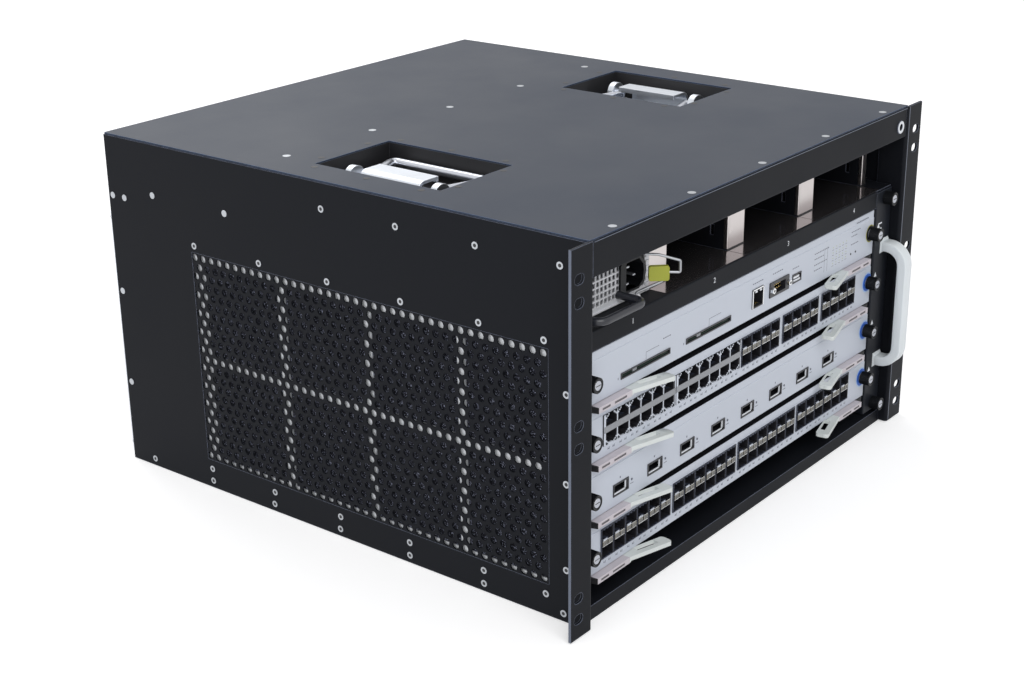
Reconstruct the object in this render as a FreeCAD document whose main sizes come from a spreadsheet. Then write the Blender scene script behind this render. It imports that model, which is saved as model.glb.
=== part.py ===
"""Modular chassis switch: a 19-inch rack chassis with four front cards, power supply bays,
a fan tray, a side air filter and two spring lifting handles.

Axes: +X to the right as seen from the front, the front faces -Y, +Z up.  The origin is at the
middle of the whole object's box, on the surface that it stands on.  Every Y below is measured
from the front edge of the top cover and moved by front_y.
"""
import FreeCAD, Part
import math
import operator
import os

import Sketcher
from FreeCAD import Placement, Rotation, Vector

SIZES = {
    # Chassis shell
    "front_y": -227.25, "body_width": 440.0, "body_depth": 464.5, "sheet": 1.2, "gap": 0.3,
    "side_front": 0.5, "side_top": 276.0, "side_flange": 10.0, "cover_low": 276.3,
    "cover_half": 219.6, "cover_round": 1.0, "lip_front": 6.0, "lip_top": 11.0,
    "vent_front": 32.5, "vent_back": 372.5, "vent_low": 24.5,
    "vent_top": 197.5, "exhaust_back": 392.5,
    # Rack ears
    "ear_span": 482.6, "ear_thick": 2.0, "ear_front": -1.7, "ear_low": 0.5, "ear_tall": 276.5,
    "ear_leg": 23.7, "ear_leg_x": 216.8, "ear_bend": 2.6, "slot_spacing": 465.1,
    "slot_length": 10.0, "slot_width": 7.0, "slot_pitch": 15.875, "slot_low": 15.0,
    "slot_middle": 140.2, "slot_high": 240.1,
    # Front bezel
    "bezel_front": -0.6, "bezel_low": 251.8, "bezel_high": 276.2, "bezel_return": 14.0,
    "bezel_hem": 9.0,
    "bezel_half": 216.5, "bezel_flange_half": 209.0, "socket_x": 206.3, "socket_z": 262.1,
    "socket_outer": 5.2, "socket_bore": 2.6, "socket_deep": 9.0, "socket_proud": 0.6,
    # Power supply bays
    "shelf_front": 8.0, "shelf_top": 210.5, "strip_low": 196.4, "strip_right": 190.5,
    "shelf_half": 218.5, "shelf_end": 400.0, "shelf_hem": 11.0, "bay_first": -115.5,
    "bay_pitch": 104.0, "bay_face": 26.0, "bay_flange": 23.0, "bay_top": 251.4,
    "end_flange": 7.0, "latch_y": 37.5, "latch_z": 220.5, "latch_wide": 3.0,
    "latch_tall": 8.0, "brace_y": 298.0, "brace_wide": 26.0, "brace_foot": 9.0,
    # Card cage
    "cage_foot": 12.0, "cage_left": -207.0, "cage_right": 191.0, "cage_front": 24.0,
    "cage_end": 401.5, "guide_depth": 4.0, "guide_thick": 1.5,
    "guide_slot": 2.4, "air_tall": 22.0, "air_first": 20.0, "air_rise": 10.0, "tab_width": 12.0,
    "tab_height": 11.0,
    "thread_hole": 2.3,
    # Cards
    "card_face": 9.0, "card_thick": 1.5, "card_left": -216.0, "card_right": 190.0,
    "card_low": 31.6, "card_tall": 36.8, "card_pitch": 42.2, "card_step": 0.4,
    "card_step_tall": 6.0, "card_flange": 7.0, "board_left": -203.6, "board_right": 187.6,
    "board_rise": 5.2, "board_thick": 1.6, "board_front": 11.0, "board_end": 398.0,
    "block_front": 8.4, "foot_lap": 0.5, "chip_size": 46.0, "chip_tall": 9.0,
    # Sockets, measured from the card's lower edge
    "jack_first": -191.0, "jack_pitch": 13.97, "jack_group": 88.0, "jack_low": 8.0,
    "jack_high": 30.4, "jack_wide": 11.9, "jack_tall": 6.9, "jack_tab_wide": 5.6,
    "jack_tab_tall": 2.0, "jack_strip": 4.8, "jack_deep": 14.0, "jack_block": 26.0,
    "sfp_first": -14.4, "sfp_pitch": 13.9, "sfp_group": 60.6, "sfp_low": 7.4,
    "sfp_high": 30.6, "sfp_wide": 12.6, "sfp_tall": 9.0, "sfp_strip": 4.0, "sfp_deep": 46.0,
    "sfp_block": 50.0, "wide_first": -192.4, "wide_pitch": 14.35, "wide_group": 89.2,
    "xfp_first": -178.3, "xfp_pitch": 41.8, "xfp_wide": 18.3, "xfp_low": 7.2,
    "xfp_tall": 9.0, "xfp_wall": 0.9, "xfp_deep": 66.0, "memory_one": -170.8,
    "memory_two": -90.8, "memory_wide": 59.6, "memory_low": 7.4, "memory_tall": 4.4,
    "memory_deep": 60.0, "service_left": -1.6, "service_wide": 15.6, "service_low": 7.2,
    "service_tall": 15.0, "serial_left": 23.4, "serial_wide": 28.4, "serial_low": 8.8,
    "serial_tall": 11.6, "serial_mouth": 17.2, "serial_block": 12.0, "serial_deep": 5.0,
    "serial_wall": 2.0, "usb_left": 57.8, "usb_wide": 13.4,
    "usb_low": 10.4, "usb_tall": 7.2,
    # Captive screws
    "screw_left": -210.0, "screw_right": 184.6, "knob_radius": 5.5, "knob_long": 8.3,
    "dish_share": 0.7, "dish_deep": 0.6, "neck_share": 0.76, "neck_long": 1.1, "knob_edge": 0.5,
    "shank_radius": 2.0, "shank_bore": 2.07, "shank_long": 18.0,
    # Ejector levers
    "lever_drop": 0.5, "lever_tall": 4.3, "pivot_inset": 7.5, "pivot_y": 14.2,
    "pivot_pin": 1.5, "pivot_bore": 1.56, "lever_front": 5.7, "lever_back": 2.9,
    "lever_long": 43.5, "lever_heel": 4.5, "arm_run": 38.6, "arm_rise": 10.4,
    "arm_deep": 6.2, "arm_skew": 1.6, "arm_lap": 6.0, "heel_step": 1.0, "claw_root": 1.5,
    "arm_slot_start": 12.0, "arm_slot_end": 31.0, "arm_slot_wide": 3.0, "arm_slot_skew": 0.8,
    "arm_slot_drop": 0.3, "arm_slot_rise": 5.1, "arm_round": 2.2, "claw_out": 5.6,
    "claw_back": 7.4, "claw_thick": 3.2,
    # Power supply
    "supply_left": -216.2, "supply_right": -116.4, "supply_low": 210.9,
    "supply_top": 250.7, "supply_face": 24.4, "supply_thick": 1.3,
    "supply_body_left": -194.6, "supply_end": 396.0, "supply_wall": 1.0,
    "grid_left": -205.4, "grid_low": 215.6, "grid_pitch": 4.6, "grid_hole": 3.4,
    "inlet_x": -135.4, "inlet_z": 228.6, "inlet_wide": 28.0, "inlet_tall": 25.0,
    "inlet_lip": 1.6, "inlet_body": 24.0, "inlet_well": 18.0, "inlet_well_wide": 17.0,
    "inlet_well_tall": 21.6, "pin_long": 13.0, "pin_wide": 2.0, "pin_tall": 4.0,
    "pin_pitch": 7.0, "pin_offset": 3.6, "pull_x": -157.0, "pull_wide": 48.0,
    "pull_z": 217.6, "pull_out": 23.0, "pull_radius": 2.75, "pull_bend": 8.0,
    # Cord retaining clip
    "clip_x": -139.5, "clip_y": 18.6, "clip_low": 213.4, "clip_wire": 0.9,
    "clip_bore": 0.97, "clip_bend": 1.2, "clip_tail": 2.0, "clip_rise": 3.0,
    "clip_knee": 17.5, "clip_knee_low": 10.6, "clip_knee_high": 17.2, "clip_reach": 29.5,
    "clip_tip_low": 16.5, "clip_tip_high": 24.8, "clip_neck": 14.5, "clip_neck_high": 29.5,
    "clip_fall": 30.7, "clip_tall": 34.0, "clip_post": 2.1, "tab_left": 8.0,
    "tab_right": 22.0, "tab_low": 11.2, "tab_high": 21.6, "tab_thick": 3.6,
    "tab_round": 1.6,
    # Fan tray
    "tray_left": 191.4, "tray_right": 216.2, "tray_low": 13.6, "tray_top": 208.9,
    "tray_face": 8.0, "tray_end": 396.0, "fan_size": 119.0, "fan_pitch": 120.0,
    "fan_first": 94.0, "fan_z": 111.0, "fan_deep": 20.0, "fan_bore": 56.5,
    "fan_hub": 18.0, "strut_wide": 5.0, "strut_deep": 3.0, "rotor_radius": 54.5,
    "rotor_hub": 19.0, "rotor_deep": 14.0, "rotor_lift": 2.0, "axle_radius": 1.5,
    "axle_bore": 1.56, "axle_long": 12.0, "blade_root": 1.5, "blade_inset": 1.0,
    "blade_thick": 1.8, "blade_sweep": 15.0,
    "tray_screw_x": 206.0, "tray_screw_high": 202.2, "tray_screw_low": 20.4,
    "grip_x": 208.2, "grip_wide": 12.0, "grip_low": 59.9, "grip_tall": 101.1,
    "grip_out": 20.0, "grip_thick": 8.0, "grip_bend": 15.0,
    # Air filter
    "filter_left": -217.1, "filter_right": -207.3, "filter_low": 20.6, "filter_top": 196.5,
    "filter_front": 29.0, "filter_back": 464.8, "filter_skin": 1.0, "filter_bar": 7.0,
    "filter_edge": 6.0, "filter_mid": 111.0, "filter_cell": 79.0, "tail_low": 6.0,
    "tail_high": 213.0, "tail_left": -219.6, "tail_right": -204.6, "filter_screw_x": -212.2,
    "filter_screw_high": 207.0, "filter_screw_low": 12.2, "small_knob": 4.2,
    "small_knob_long": 4.5, "small_shank": 1.5, "small_bore": 1.56, "small_hole": 1.8,
    "small_shank_long": 4.0, "small_gap": 0.2, "slot_room_x": 0.8, "slot_room_z": 1.0,
    # Lifting handles
    "well_inner": 109.5, "well_outer": 189.5, "well_front": 147.0, "well_back": 266.0,
    "well_floor": 252.6, "well_rim": 12.0, "hinge_x": 166.0, "hinge_z": 264.6,
    "handle_y": 209.0, "cover_outer": 9.0, "cover_bend": 8.0, "cover_thick": 2.2, "cover_lip": 14.0,
    "cover_drop": 4.0, "cover_middle": 28.0, "bearing_start": 38.2, "bearing_end": 43.5,
    "plate_outer": 18.0, "plate_inner": 22.0, "plate_half": 52.0, "plate_thick": 2.0,
    "bail_radius": 3.5, "bail_bore": 3.56, "bail_pin": 43.3, "bail_root": 31.2,
    "bail_tip": 46.5, "bail_reach": 49.0, "bail_bend": 4.2,
    # Midplane and fasteners
    "midplane_y": 403.0, "midplane_thick": 2.4, "midplane_low": 15.0, "midplane_high": 250.0,
    "midplane_left": -205.0, "midplane_right": 188.6, "link_deep": 4.4, "link_tall": 12.0,
    "link_inner": 40.0,
    "link_outer": 150.0, "supply_link_start": 40.0, "supply_link_end": 90.0,
    "supply_link_rise": 8.0,
    "rivet_radius": 2.6, "rivet_high": 0.4, "screw_head": 3.0, "head_high": 0.1, "screw_pitch": 93.2,
    "well_x": 150.0, "well_rivet_x": 46.5, "well_rivet_y": 50.7, "well_rivet_inner": 25.0,
    "well_rivet_front": 65.5, "well_rivet_back": 64.5,
}

# How far a cutting tool reaches past the sheet that it cuts
PAST = 5
# The corners of the tall chips on every board, along X and Y
CHIPS = ((-120, 150), (20, 210))
BAYS = 4
CARDS = 4
FANS = 3
CLIP_TILT = Rotation(Vector(0, 0, 1), -48)
BLADES = 7


class Size:
    """A length that carries its value and the spreadsheet expression that drives it."""

    def __init__(self, value, text):
        self.value = value
        self.text = text

    def __add__(self, other):
        return combine(self, other, "+", operator.add)

    def __radd__(self, other):
        return combine(other, self, "+", operator.add)

    def __sub__(self, other):
        return combine(self, other, "-", operator.sub)

    def __rsub__(self, other):
        return combine(other, self, "-", operator.sub)

    def __mul__(self, other):
        return combine(self, other, "*", operator.mul)

    def __rmul__(self, other):
        return combine(other, self, "*", operator.mul)

    def __truediv__(self, other):
        return combine(self, other, "/", operator.truediv)

    def __neg__(self):
        return combine(0, self, "-", operator.sub)


def size(number):
    """Wraps a plain number as a Size."""
    return number if isinstance(number, Size) else Size(float(number), f"({float(number)!r})")


def combine(left, right, sign, action):
    left, right = size(left), size(right)
    return Size(action(left.value, right.value), f"({left.text} {sign} {right.text})")


class Sizes:
    """Gives each driving dimension of the sheet by its alias."""

    def __getattr__(self, alias):
        return Size(SIZES[alias], "dims." + alias)


S = Sizes()
doc = FreeCAD.newDocument("chassis_switch")
nodes = []


def make_sheet():
    """Puts every driving dimension in the spreadsheet under its own alias."""
    sheet = doc.addObject("Spreadsheet::Sheet", "dims")
    for row, (alias, value) in enumerate(SIZES.items(), start=1):
        sheet.set(f"A{row}", alias)
        sheet.set(f"B{row}", str(value))
        sheet.setAlias(f"B{row}", alias)
    doc.recompute()


# ---------------------------------------------------------------- building blocks

def bind(obj, **sizes):
    for prop, amount in sizes.items():
        obj.setExpression(prop, size(amount).text)


def place(obj, x=0, y=0, z=0):
    """Puts an object at a point, with Y measured from the cover's front edge."""
    for axis, amount in zip("xyz", (x, S.front_y + y, z)):
        obj.setExpression(f"Placement.Base.{axis}", size(amount).text)


def span(first, last):
    first, last = size(first), size(last)
    return (first, last) if first.value <= last.value else (last, first)


def box(name, x, y, z):
    """A block between two limits on each axis."""
    obj = doc.addObject("Part::Box", name)
    (x0, x1), (y0, y1), (z0, z1) = span(*x), span(*y), span(*z)
    bind(obj, Length=x1 - x0, Width=y1 - y0, Height=z1 - z0)
    place(obj, x0, y0, z0)
    return obj


TURNS = {"x": Rotation(Vector(0, 1, 0), 90), "y": Rotation(Vector(1, 0, 0), -90), "z": Rotation()}


def rod(name, axis, at, radius, length):
    """A cylinder that starts at a point and runs along +axis."""
    obj = doc.addObject("Part::Cylinder", name)
    obj.Placement = Placement(Vector(), TURNS[axis])
    bind(obj, Radius=radius, Height=length)
    place(obj, *at)
    return obj


def fuse(name, parts):
    obj = doc.addObject("Part::MultiFuse", name)
    obj.Shapes = parts
    return obj


def group(name, parts):
    obj = doc.addObject("Part::Compound", name)
    obj.Links = parts
    return obj


def cut(name, base, tools):
    obj = doc.addObject("Part::Cut", name)
    obj.Base = base
    obj.Tool = tools[0] if len(tools) == 1 else group(name + "_tools", tools)
    return obj


def node(obj, label):
    obj.Label = label
    nodes.append(obj)
    return obj


def new_body(name, at=(0, 0, 0), turn=None):
    body = doc.addObject("PartDesign::Body", name)
    if turn is not None:
        body.Placement = Placement(Vector(), turn)
    place(body, *at)
    return body


def new_sketch(body, plane, offset=0, name="outline"):
    """A sketch on one of the body's own origin planes, moved along that plane's normal."""
    sketch = body.newObject("Sketcher::SketchObject", f"{body.Name}_{name}")
    for feature in body.Origin.OriginFeatures:
        if feature.Role == plane:
            sketch.AttachmentSupport = [(feature, "")]
    sketch.MapMode = "FlatFace"
    if offset:
        sketch.setExpression("AttachmentOffset.Base.z", size(offset).text)
    return sketch


def hold(sketch, element, point, u, v):
    """Dimensions one point of a sketch from the sketch's origin."""
    for kind, amount in (("DistanceX", size(u)), ("DistanceY", size(v))):
        index = sketch.addConstraint(
            Sketcher.Constraint(kind, -1, 1, element, point, amount.value))
        sketch.setExpression(f"Constraints[{index}]", amount.text)


def draw_loop(sketch, points):
    """A closed outline of straight edges with every corner dimensioned."""
    first = sketch.GeometryCount
    corners = [Vector(size(u).value, size(v).value, 0) for u, v in points]
    count = len(corners)
    sketch.addGeometry(
        [Part.LineSegment(corners[i], corners[(i + 1) % count]) for i in range(count)], False)
    for i in range(count):
        after = first + (i + 1) % count
        sketch.addConstraint(Sketcher.Constraint("Coincident", first + i, 2, after, 1))
        hold(sketch, first + i, 1, *points[i])


def draw_circle(sketch, u, v, radius):
    radius = size(radius)
    centre = Vector(size(u).value, size(v).value, 0)
    element = sketch.addGeometry(Part.Circle(centre, Vector(0, 0, 1), radius.value), False)
    hold(sketch, element, 3, u, v)
    index = sketch.addConstraint(Sketcher.Constraint("Radius", element, radius.value))
    sketch.setExpression(f"Constraints[{index}]", radius.text)


def rectangle(u, v):
    (u0, u1), (v0, v1) = span(*u), span(*v)
    return [(u0, v0), (u1, v0), (u1, v1), (u0, v1)]


def draw_path(sketch, corners, radius):
    """An open bent line: straight runs joined by tangent arcs of one radius."""
    radius = size(radius)
    spots = [Vector(size(u).value, size(v).value, 0) for u, v in corners]
    ways = [(b - a).normalize() for a, b in zip(spots, spots[1:])]
    starts, ends, arcs = [spots[0]], [], []
    for way_in, way_out, spot in zip(ways, ways[1:], spots[1:]):
        setback = radius.value * math.tan(way_in.getAngle(way_out) / 2)
        begin, finish = spot - way_in * setback, spot + way_out * setback
        inward = (way_out - way_in).normalize()
        reach = math.hypot(radius.value, setback) - radius.value
        arcs.append(Part.Arc(begin, spot + inward * reach, finish))
        ends.append(begin)
        starts.append(finish)
    ends.append(spots[-1])
    lines = [sketch.addGeometry(Part.LineSegment(a, b), False) for a, b in zip(starts, ends)]
    bends = [sketch.addGeometry(arc, False) for arc in arcs]
    hold(sketch, lines[0], 1, *corners[0])
    hold(sketch, lines[-1], 2, *corners[-1])
    for i, bend in enumerate(bends):
        gaps = [sketch.getPoint(bend, end).distanceToPoint(ends[i]) for end in (1, 2)]
        into, out = (1, 2) if gaps[0] < gaps[1] else (2, 1)
        sketch.addConstraint(Sketcher.Constraint("Tangent", lines[i], 2, bend, into))
        sketch.addConstraint(Sketcher.Constraint("Tangent", bend, out, lines[i + 1], 1))
        index = sketch.addConstraint(Sketcher.Constraint("Radius", bend, radius.value))
        sketch.setExpression(f"Constraints[{index}]", radius.text)
        mark = sketch.addGeometry(Part.Point(spots[i + 1]), True)
        hold(sketch, mark, 1, *corners[i + 1])
        sketch.addConstraint(Sketcher.Constraint("PointOnObject", mark, 1, lines[i]))
        sketch.addConstraint(Sketcher.Constraint("PointOnObject", mark, 1, lines[i + 1]))


def pad(body, sketch, length, backwards=False):
    feature = body.newObject("PartDesign::Pad", sketch.Name + "_pad")
    feature.Profile = sketch
    feature.Reversed = backwards
    bind(feature, Length=length)
    doc.recompute()
    return feature


def pocket(body, sketch, depth):
    """Cuts to the same depth on both sides of the sketch's plane."""
    before = body.Shape.Volume
    feature = body.newObject("PartDesign::Pocket", sketch.Name + "_cut")
    feature.Profile = sketch
    feature.Midplane = True
    bind(feature, Length=depth * 2)
    doc.recompute()
    if body.Shape.Volume >= before:
        raise ValueError(f"{feature.Name} removes nothing")
    return feature


def soften(body, radius, wanted):
    """Rounds the edges of a body that a test on each edge picks out."""
    picked = [f"Edge{i}" for i, edge in enumerate(body.Shape.Edges, start=1) if wanted(edge)]
    before = body.Tip
    feature = body.newObject("PartDesign::Fillet", body.Name + "_round")
    feature.Base = (before, picked)
    bind(feature, Radius=radius)
    doc.recompute()
    return feature


def folded(name, plane, points, length, at=(0, 0, 0), backwards=False):
    """A folded sheet: its section drawn on a plane and padded along the fold."""
    body = new_body(name, at)
    sketch = new_sketch(body, plane)
    draw_loop(sketch, points)
    pad(body, sketch, length, backwards)
    return body


def windows(body, plane, loops, depth):
    """Cuts outlines straight through a body."""
    sketch = new_sketch(body, plane, name="windows")
    for loop in loops:
        draw_loop(sketch, loop)
    pocket(body, sketch, depth)


def swept(name, corners, bend, section, at, plane="XY_Plane", across="XZ_Plane", turn=None):
    """A bent bar: a section swept along a path that starts at the body's origin."""
    body = new_body(name, at, turn)
    path = new_sketch(body, plane, name="path")
    draw_path(path, corners, bend)
    profile = new_sketch(body, across, name="section")
    section(profile)
    pipe = body.newObject("PartDesign::AdditivePipe", name + "_pipe")
    pipe.Profile = profile
    pipe.Spine = path
    doc.recompute()
    return body


def draw_slot(sketch, u, v, length, width):
    """A slot with round ends, level along u."""
    radius = size(width) / 2
    ends = [size(u) + side * (size(length) / 2 - radius) for side in (-1, 1)]
    quarter = math.pi / 2
    arcs = []
    for centre, start in zip(ends, (quarter, -quarter)):
        circle = Part.Circle(Vector(centre.value, size(v).value, 0), Vector(0, 0, 1), radius.value)
        arc = Part.ArcOfCircle(circle, start, start + math.pi)
        arcs.append(sketch.addGeometry(arc, False))
        hold(sketch, arcs[-1], 3, centre, v)
    low = Part.LineSegment(sketch.getPoint(arcs[0], 2), sketch.getPoint(arcs[1], 1))
    high = Part.LineSegment(sketch.getPoint(arcs[1], 2), sketch.getPoint(arcs[0], 1))
    low, high = sketch.addGeometry(low, False), sketch.addGeometry(high, False)
    for one, end, other, start in ((arcs[0], 2, low, 1), (low, 2, arcs[1], 1),
                                   (arcs[1], 2, high, 1), (high, 2, arcs[0], 1)):
        sketch.addConstraint(Sketcher.Constraint("Tangent", one, end, other, start))
    index = sketch.addConstraint(Sketcher.Constraint("Radius", arcs[0], radius.value))
    sketch.setExpression(f"Constraints[{index}]", radius.text)


def row_of(body, feature, pitch, count):
    """Repeats a cut along +X."""
    row = body.newObject("PartDesign::LinearPattern", feature.Name + "_row")
    row.Originals = [feature]
    row.Direction = (feature.Profile[0], ["H_Axis"])
    bind(row, Length=pitch * (count - 1))
    row.Occurrences = count
    body.Tip = row
    doc.recompute()
    return row


def middle(edge):
    """The middle of an edge's box, which tells one edge from another."""
    return edge.BoundBox.Center


# ---------------------------------------------------------------- chassis shell

def ear_notches(name, low, high):
    """Tools that cut a sheet back from the legs of the rack ears."""
    return [box(f"{name}_notch_{side + 1}", (side * (S.ear_leg_x - S.gap), side * S.body_width),
                (S.ear_front, S.ear_front + S.ear_leg + S.gap), (low, high))
            for side in (-1, 1)]


def base_pan():
    """The bottom sheet.  It is folded up at the back as the rear panel, and at the front it is
    folded up and back over itself as the floor of the card cage."""
    t, y0, depth = S.sheet, S.lip_front, S.body_depth
    floor, top = S.lip_top, S.side_top - t
    section = [(y0, 0), (depth, 0), (depth, top), (depth - t, top), (depth - t, t), (y0 + t, t),
               (y0 + t, floor - t), (S.cage_end, floor - t), (S.cage_end, floor), (y0, floor)]
    half = S.body_width / 2 - t
    sheet = folded("base_sheet", "YZ_Plane", section, half * 2, at=(-half, 0, 0))
    rear = (depth - PAST, depth + PAST)
    tools = [box("rear_slot", (S.filter_left - S.slot_room_x, S.filter_right + S.slot_room_x),
                 rear, (S.filter_low - S.slot_room_z, S.filter_top + S.slot_room_z))]
    tools += ear_notches("base", -PAST, floor + PAST)
    for i, z in enumerate((S.filter_screw_low, S.filter_screw_high)):
        tools.append(rod(f"rear_hole_{i}", "y", (S.filter_screw_x, depth - PAST, z),
                         S.small_hole, PAST * 2))
    node(cut("base_pan_cut", sheet, tools), "base_pan")


def side_panel(name, side, vent_back):
    """A side sheet with its top folded in under the cover and a window for the air field."""
    x, t = side * S.body_width / 2, S.sheet
    inner, fold = x - side * t, x - side * S.side_flange
    section = [(x, 0), (inner, 0), (inner, S.side_top - t), (fold, S.side_top - t),
               (fold, S.side_top), (x, S.side_top)]
    body = folded(name + "_sheet", "XZ_Plane", section, S.body_depth - S.side_front,
                  at=(0, S.side_front, 0), backwards=True)
    window = rectangle((S.vent_front - S.side_front, vent_back - S.side_front),
                       (S.vent_low, S.vent_top))
    windows(body, "YZ_Plane", [window], S.body_width)
    node(body, name)


def top_cover():
    """The flat lid with the windows of the two handle wells."""
    body = new_body("top_cover_sheet", (0, 0, S.cover_low))
    sketch = new_sketch(body, "XY_Plane")
    draw_loop(sketch, rectangle((-S.cover_half, S.cover_half), (0, S.body_depth - S.gap)))
    pad(body, sketch, S.sheet)
    wells = [rectangle((side * S.well_inner, side * S.well_outer), (S.well_front, S.well_back))
             for side in (-1, 1)]
    windows(body, "XY_Plane", wells, S.sheet * 2)
    soften(body, S.cover_round, lambda edge: edge.Length < 2 and abs(middle(edge).x) > 200)
    node(body, "top_cover")


def rack_ear(name, side):
    """An L-shaped ear: the leg lies inside the side panel, the flange takes the rack screws."""
    inner, outer = side * S.ear_leg_x, side * S.ear_span / 2
    t, y0 = S.ear_thick, S.ear_front
    leg = inner + side * t
    section = [(inner, y0), (outer, y0), (outer, y0 + t), (leg, y0 + t),
               (leg, y0 + S.ear_leg), (inner, y0 + S.ear_leg)]
    body = folded(name + "_plate", "XY_Plane", section, S.ear_tall, at=(0, 0, S.ear_low))
    sketch = new_sketch(body, "XZ_Plane", name="slots")
    for low in (S.slot_low, S.slot_middle, S.slot_high):
        for z in (low, low + S.slot_pitch):
            draw_slot(sketch, side * S.slot_spacing / 2, z - S.ear_low, S.slot_length,
                      S.slot_width)
    pocket(body, sketch, PAST * 2)
    bend = (inner.value, SIZES["front_y"] + y0.value)
    soften(body, S.ear_bend, lambda edge: edge.Length > 100
           and math.dist((middle(edge).x, middle(edge).y), bend) < 0.1)
    under_cover = box(name + "_relief", (inner - side, side * (S.cover_half + S.gap)),
                      (-S.gap, S.ear_leg), (S.side_top - S.sheet - S.gap, S.body_depth))
    node(cut(name + "_cut", body, [under_cover]), name)


def front_bezel():
    """The strip above the power supply bays, with the wrist-strap socket pressed into it."""
    y0, t = S.bezel_front, S.sheet
    z0, z1 = S.bezel_low, S.bezel_high
    section = [(y0, z0), (S.bezel_hem, z0), (S.bezel_hem, z0 + t), (y0 + t, z0 + t),
               (y0 + t, z1 - t), (S.bezel_return, z1 - t), (S.bezel_return, z1), (y0, z1)]
    strip = folded("bezel_strip", "YZ_Plane", section, S.bezel_half * 2, at=(-S.bezel_half, 0, 0))
    front = SIZES["front_y"] + y0.value
    soften(strip, S.sheet, lambda edge: edge.Length > 100 and abs(middle(edge).y - front) < 0.1)
    notches = [box(f"bezel_notch_{side}", (side * S.bezel_flange_half, side * S.bezel_half),
                   (y0 + t - S.gap, S.bezel_return + 1), (z0 - 1, z1 + 1))
               for side in (-1, 1)]
    collar = rod("socket_collar", "y", (S.socket_x, y0 - S.socket_proud, S.socket_z),
                 S.socket_outer, S.socket_deep)
    bore = rod("socket_bore", "y", (S.socket_x, y0 - 2, S.socket_z), S.socket_bore,
               S.socket_deep)
    trimmed = cut("bezel_trimmed", strip, notches)
    node(cut("bezel_cut", fuse("bezel_whole", [trimmed, collar]), [bore]), "front_bezel")


# ---------------------------------------------------------------- power supply bays

def divider(index):
    """An upright wall between two bays with the bare plate that faces the front."""
    x, t = S.bay_first + S.bay_pitch * index, S.sheet
    wide = S.end_flange if index == BAYS - 1 else S.bay_flange
    section = [(x, S.bay_face), (x + wide, S.bay_face), (x + wide, S.bay_face + t),
               (x + t, S.bay_face + t), (x + t, S.shelf_end), (x, S.shelf_end)]
    body = folded(f"divider_{index}", "XY_Plane", section, S.bay_top - S.shelf_top,
                  at=(0, 0, S.shelf_top))
    latch = rectangle((S.latch_y, S.latch_y + S.latch_wide),
                      (S.latch_z - S.shelf_top, S.latch_z - S.shelf_top + S.latch_tall))
    windows(body, "YZ_Plane", [latch], S.body_width)
    corner = (x.value, SIZES["front_y"] + SIZES["bay_face"])
    soften(body, S.sheet, lambda edge: edge.Length > 30
           and math.dist((middle(edge).x, middle(edge).y), corner) < 0.1)
    return body


def top_brace():
    """The hat-shaped rail across the bays that the rear row of cover screws goes into."""
    y, t = S.brace_y, S.sheet
    foot, wall = S.brace_wide / 2, S.brace_wide / 2 - S.brace_foot
    low, high = S.bay_top, S.cover_low
    section = [(y - foot, low), (y - wall + t, low), (y - wall + t, high - t),
               (y + wall - t, high - t), (y + wall - t, low), (y + foot, low),
               (y + foot, low + t), (y + wall, low + t), (y + wall, high),
               (y - wall, high), (y - wall, low + t), (y - foot, low + t)]
    return folded("top_brace", "YZ_Plane", section, S.bezel_flange_half * 2,
                  at=(-S.bezel_flange_half, 0, 0))


def psu_shelf():
    """The welded floor of the bays: shelf, front strip, dividers and cross rail."""
    y0, t = S.shelf_front, S.sheet
    z0, z1 = S.strip_low, S.shelf_top
    section = [(y0, z0), (y0 + S.shelf_hem, z0), (y0 + S.shelf_hem, z0 + t), (y0 + t, z0 + t),
               (y0 + t, z1 - t), (S.shelf_end, z1 - t), (S.shelf_end, z1), (y0, z1)]
    strip = folded("shelf_strip", "YZ_Plane", section, S.shelf_half + S.strip_right,
                   at=(-S.shelf_half, 0, 0))
    front = SIZES["front_y"] + y0.value
    soften(strip, S.sheet, lambda edge: edge.Length > 100 and abs(middle(edge).y - front) < 0.1
           and middle(edge).z > 205)
    wing = box("shelf_wing", (S.strip_right, S.shelf_half), (y0 + t, S.shelf_end), (z1 - t, z1))
    first = box("first_plate", (-S.shelf_half, S.bay_first - S.bay_pitch + S.bay_flange),
                (S.bay_face, S.bay_face + t), (z1, S.bay_top))
    walls = [divider(index) for index in range(BAYS)]
    weld = fuse("psu_shelf_weld", [strip, wing, first, top_brace()] + walls)
    node(cut("psu_shelf_cut", weld, ear_notches("shelf", z0 - PAST, z1 + PAST)), "psu_shelf")


# ---------------------------------------------------------------- card cage and midplane

def card_bottom(index):
    """The height of a card's lower edge, counted from the lowest card."""
    return S.card_low + S.card_pitch * index


def guides(name, index, inner, way):
    """The two ribs on a wall that the edge of a card's board slides between."""
    centre = card_bottom(index) + S.board_rise + S.board_thick / 2
    ribs = []
    for rib in (-1, 1):
        z = centre + rib * S.guide_slot / 2
        ribs.append(box(f"{name}_guide_{index}_{rib + 1}", (inner, inner + way * S.guide_depth),
                        (S.cage_front, S.cage_end), (z, z + rib * S.guide_thick)))
    return ribs


def screw_tab(index):
    """The right-hand tab that a card's screw goes into."""
    z = card_bottom(index) + S.card_tall / 2
    inner = S.cage_right - S.sheet
    return box(f"screw_tab_{index}", (inner - S.tab_width, inner),
               (S.cage_front, S.cage_front + S.sheet), (z - S.tab_height / 2, z + S.tab_height / 2))


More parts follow.
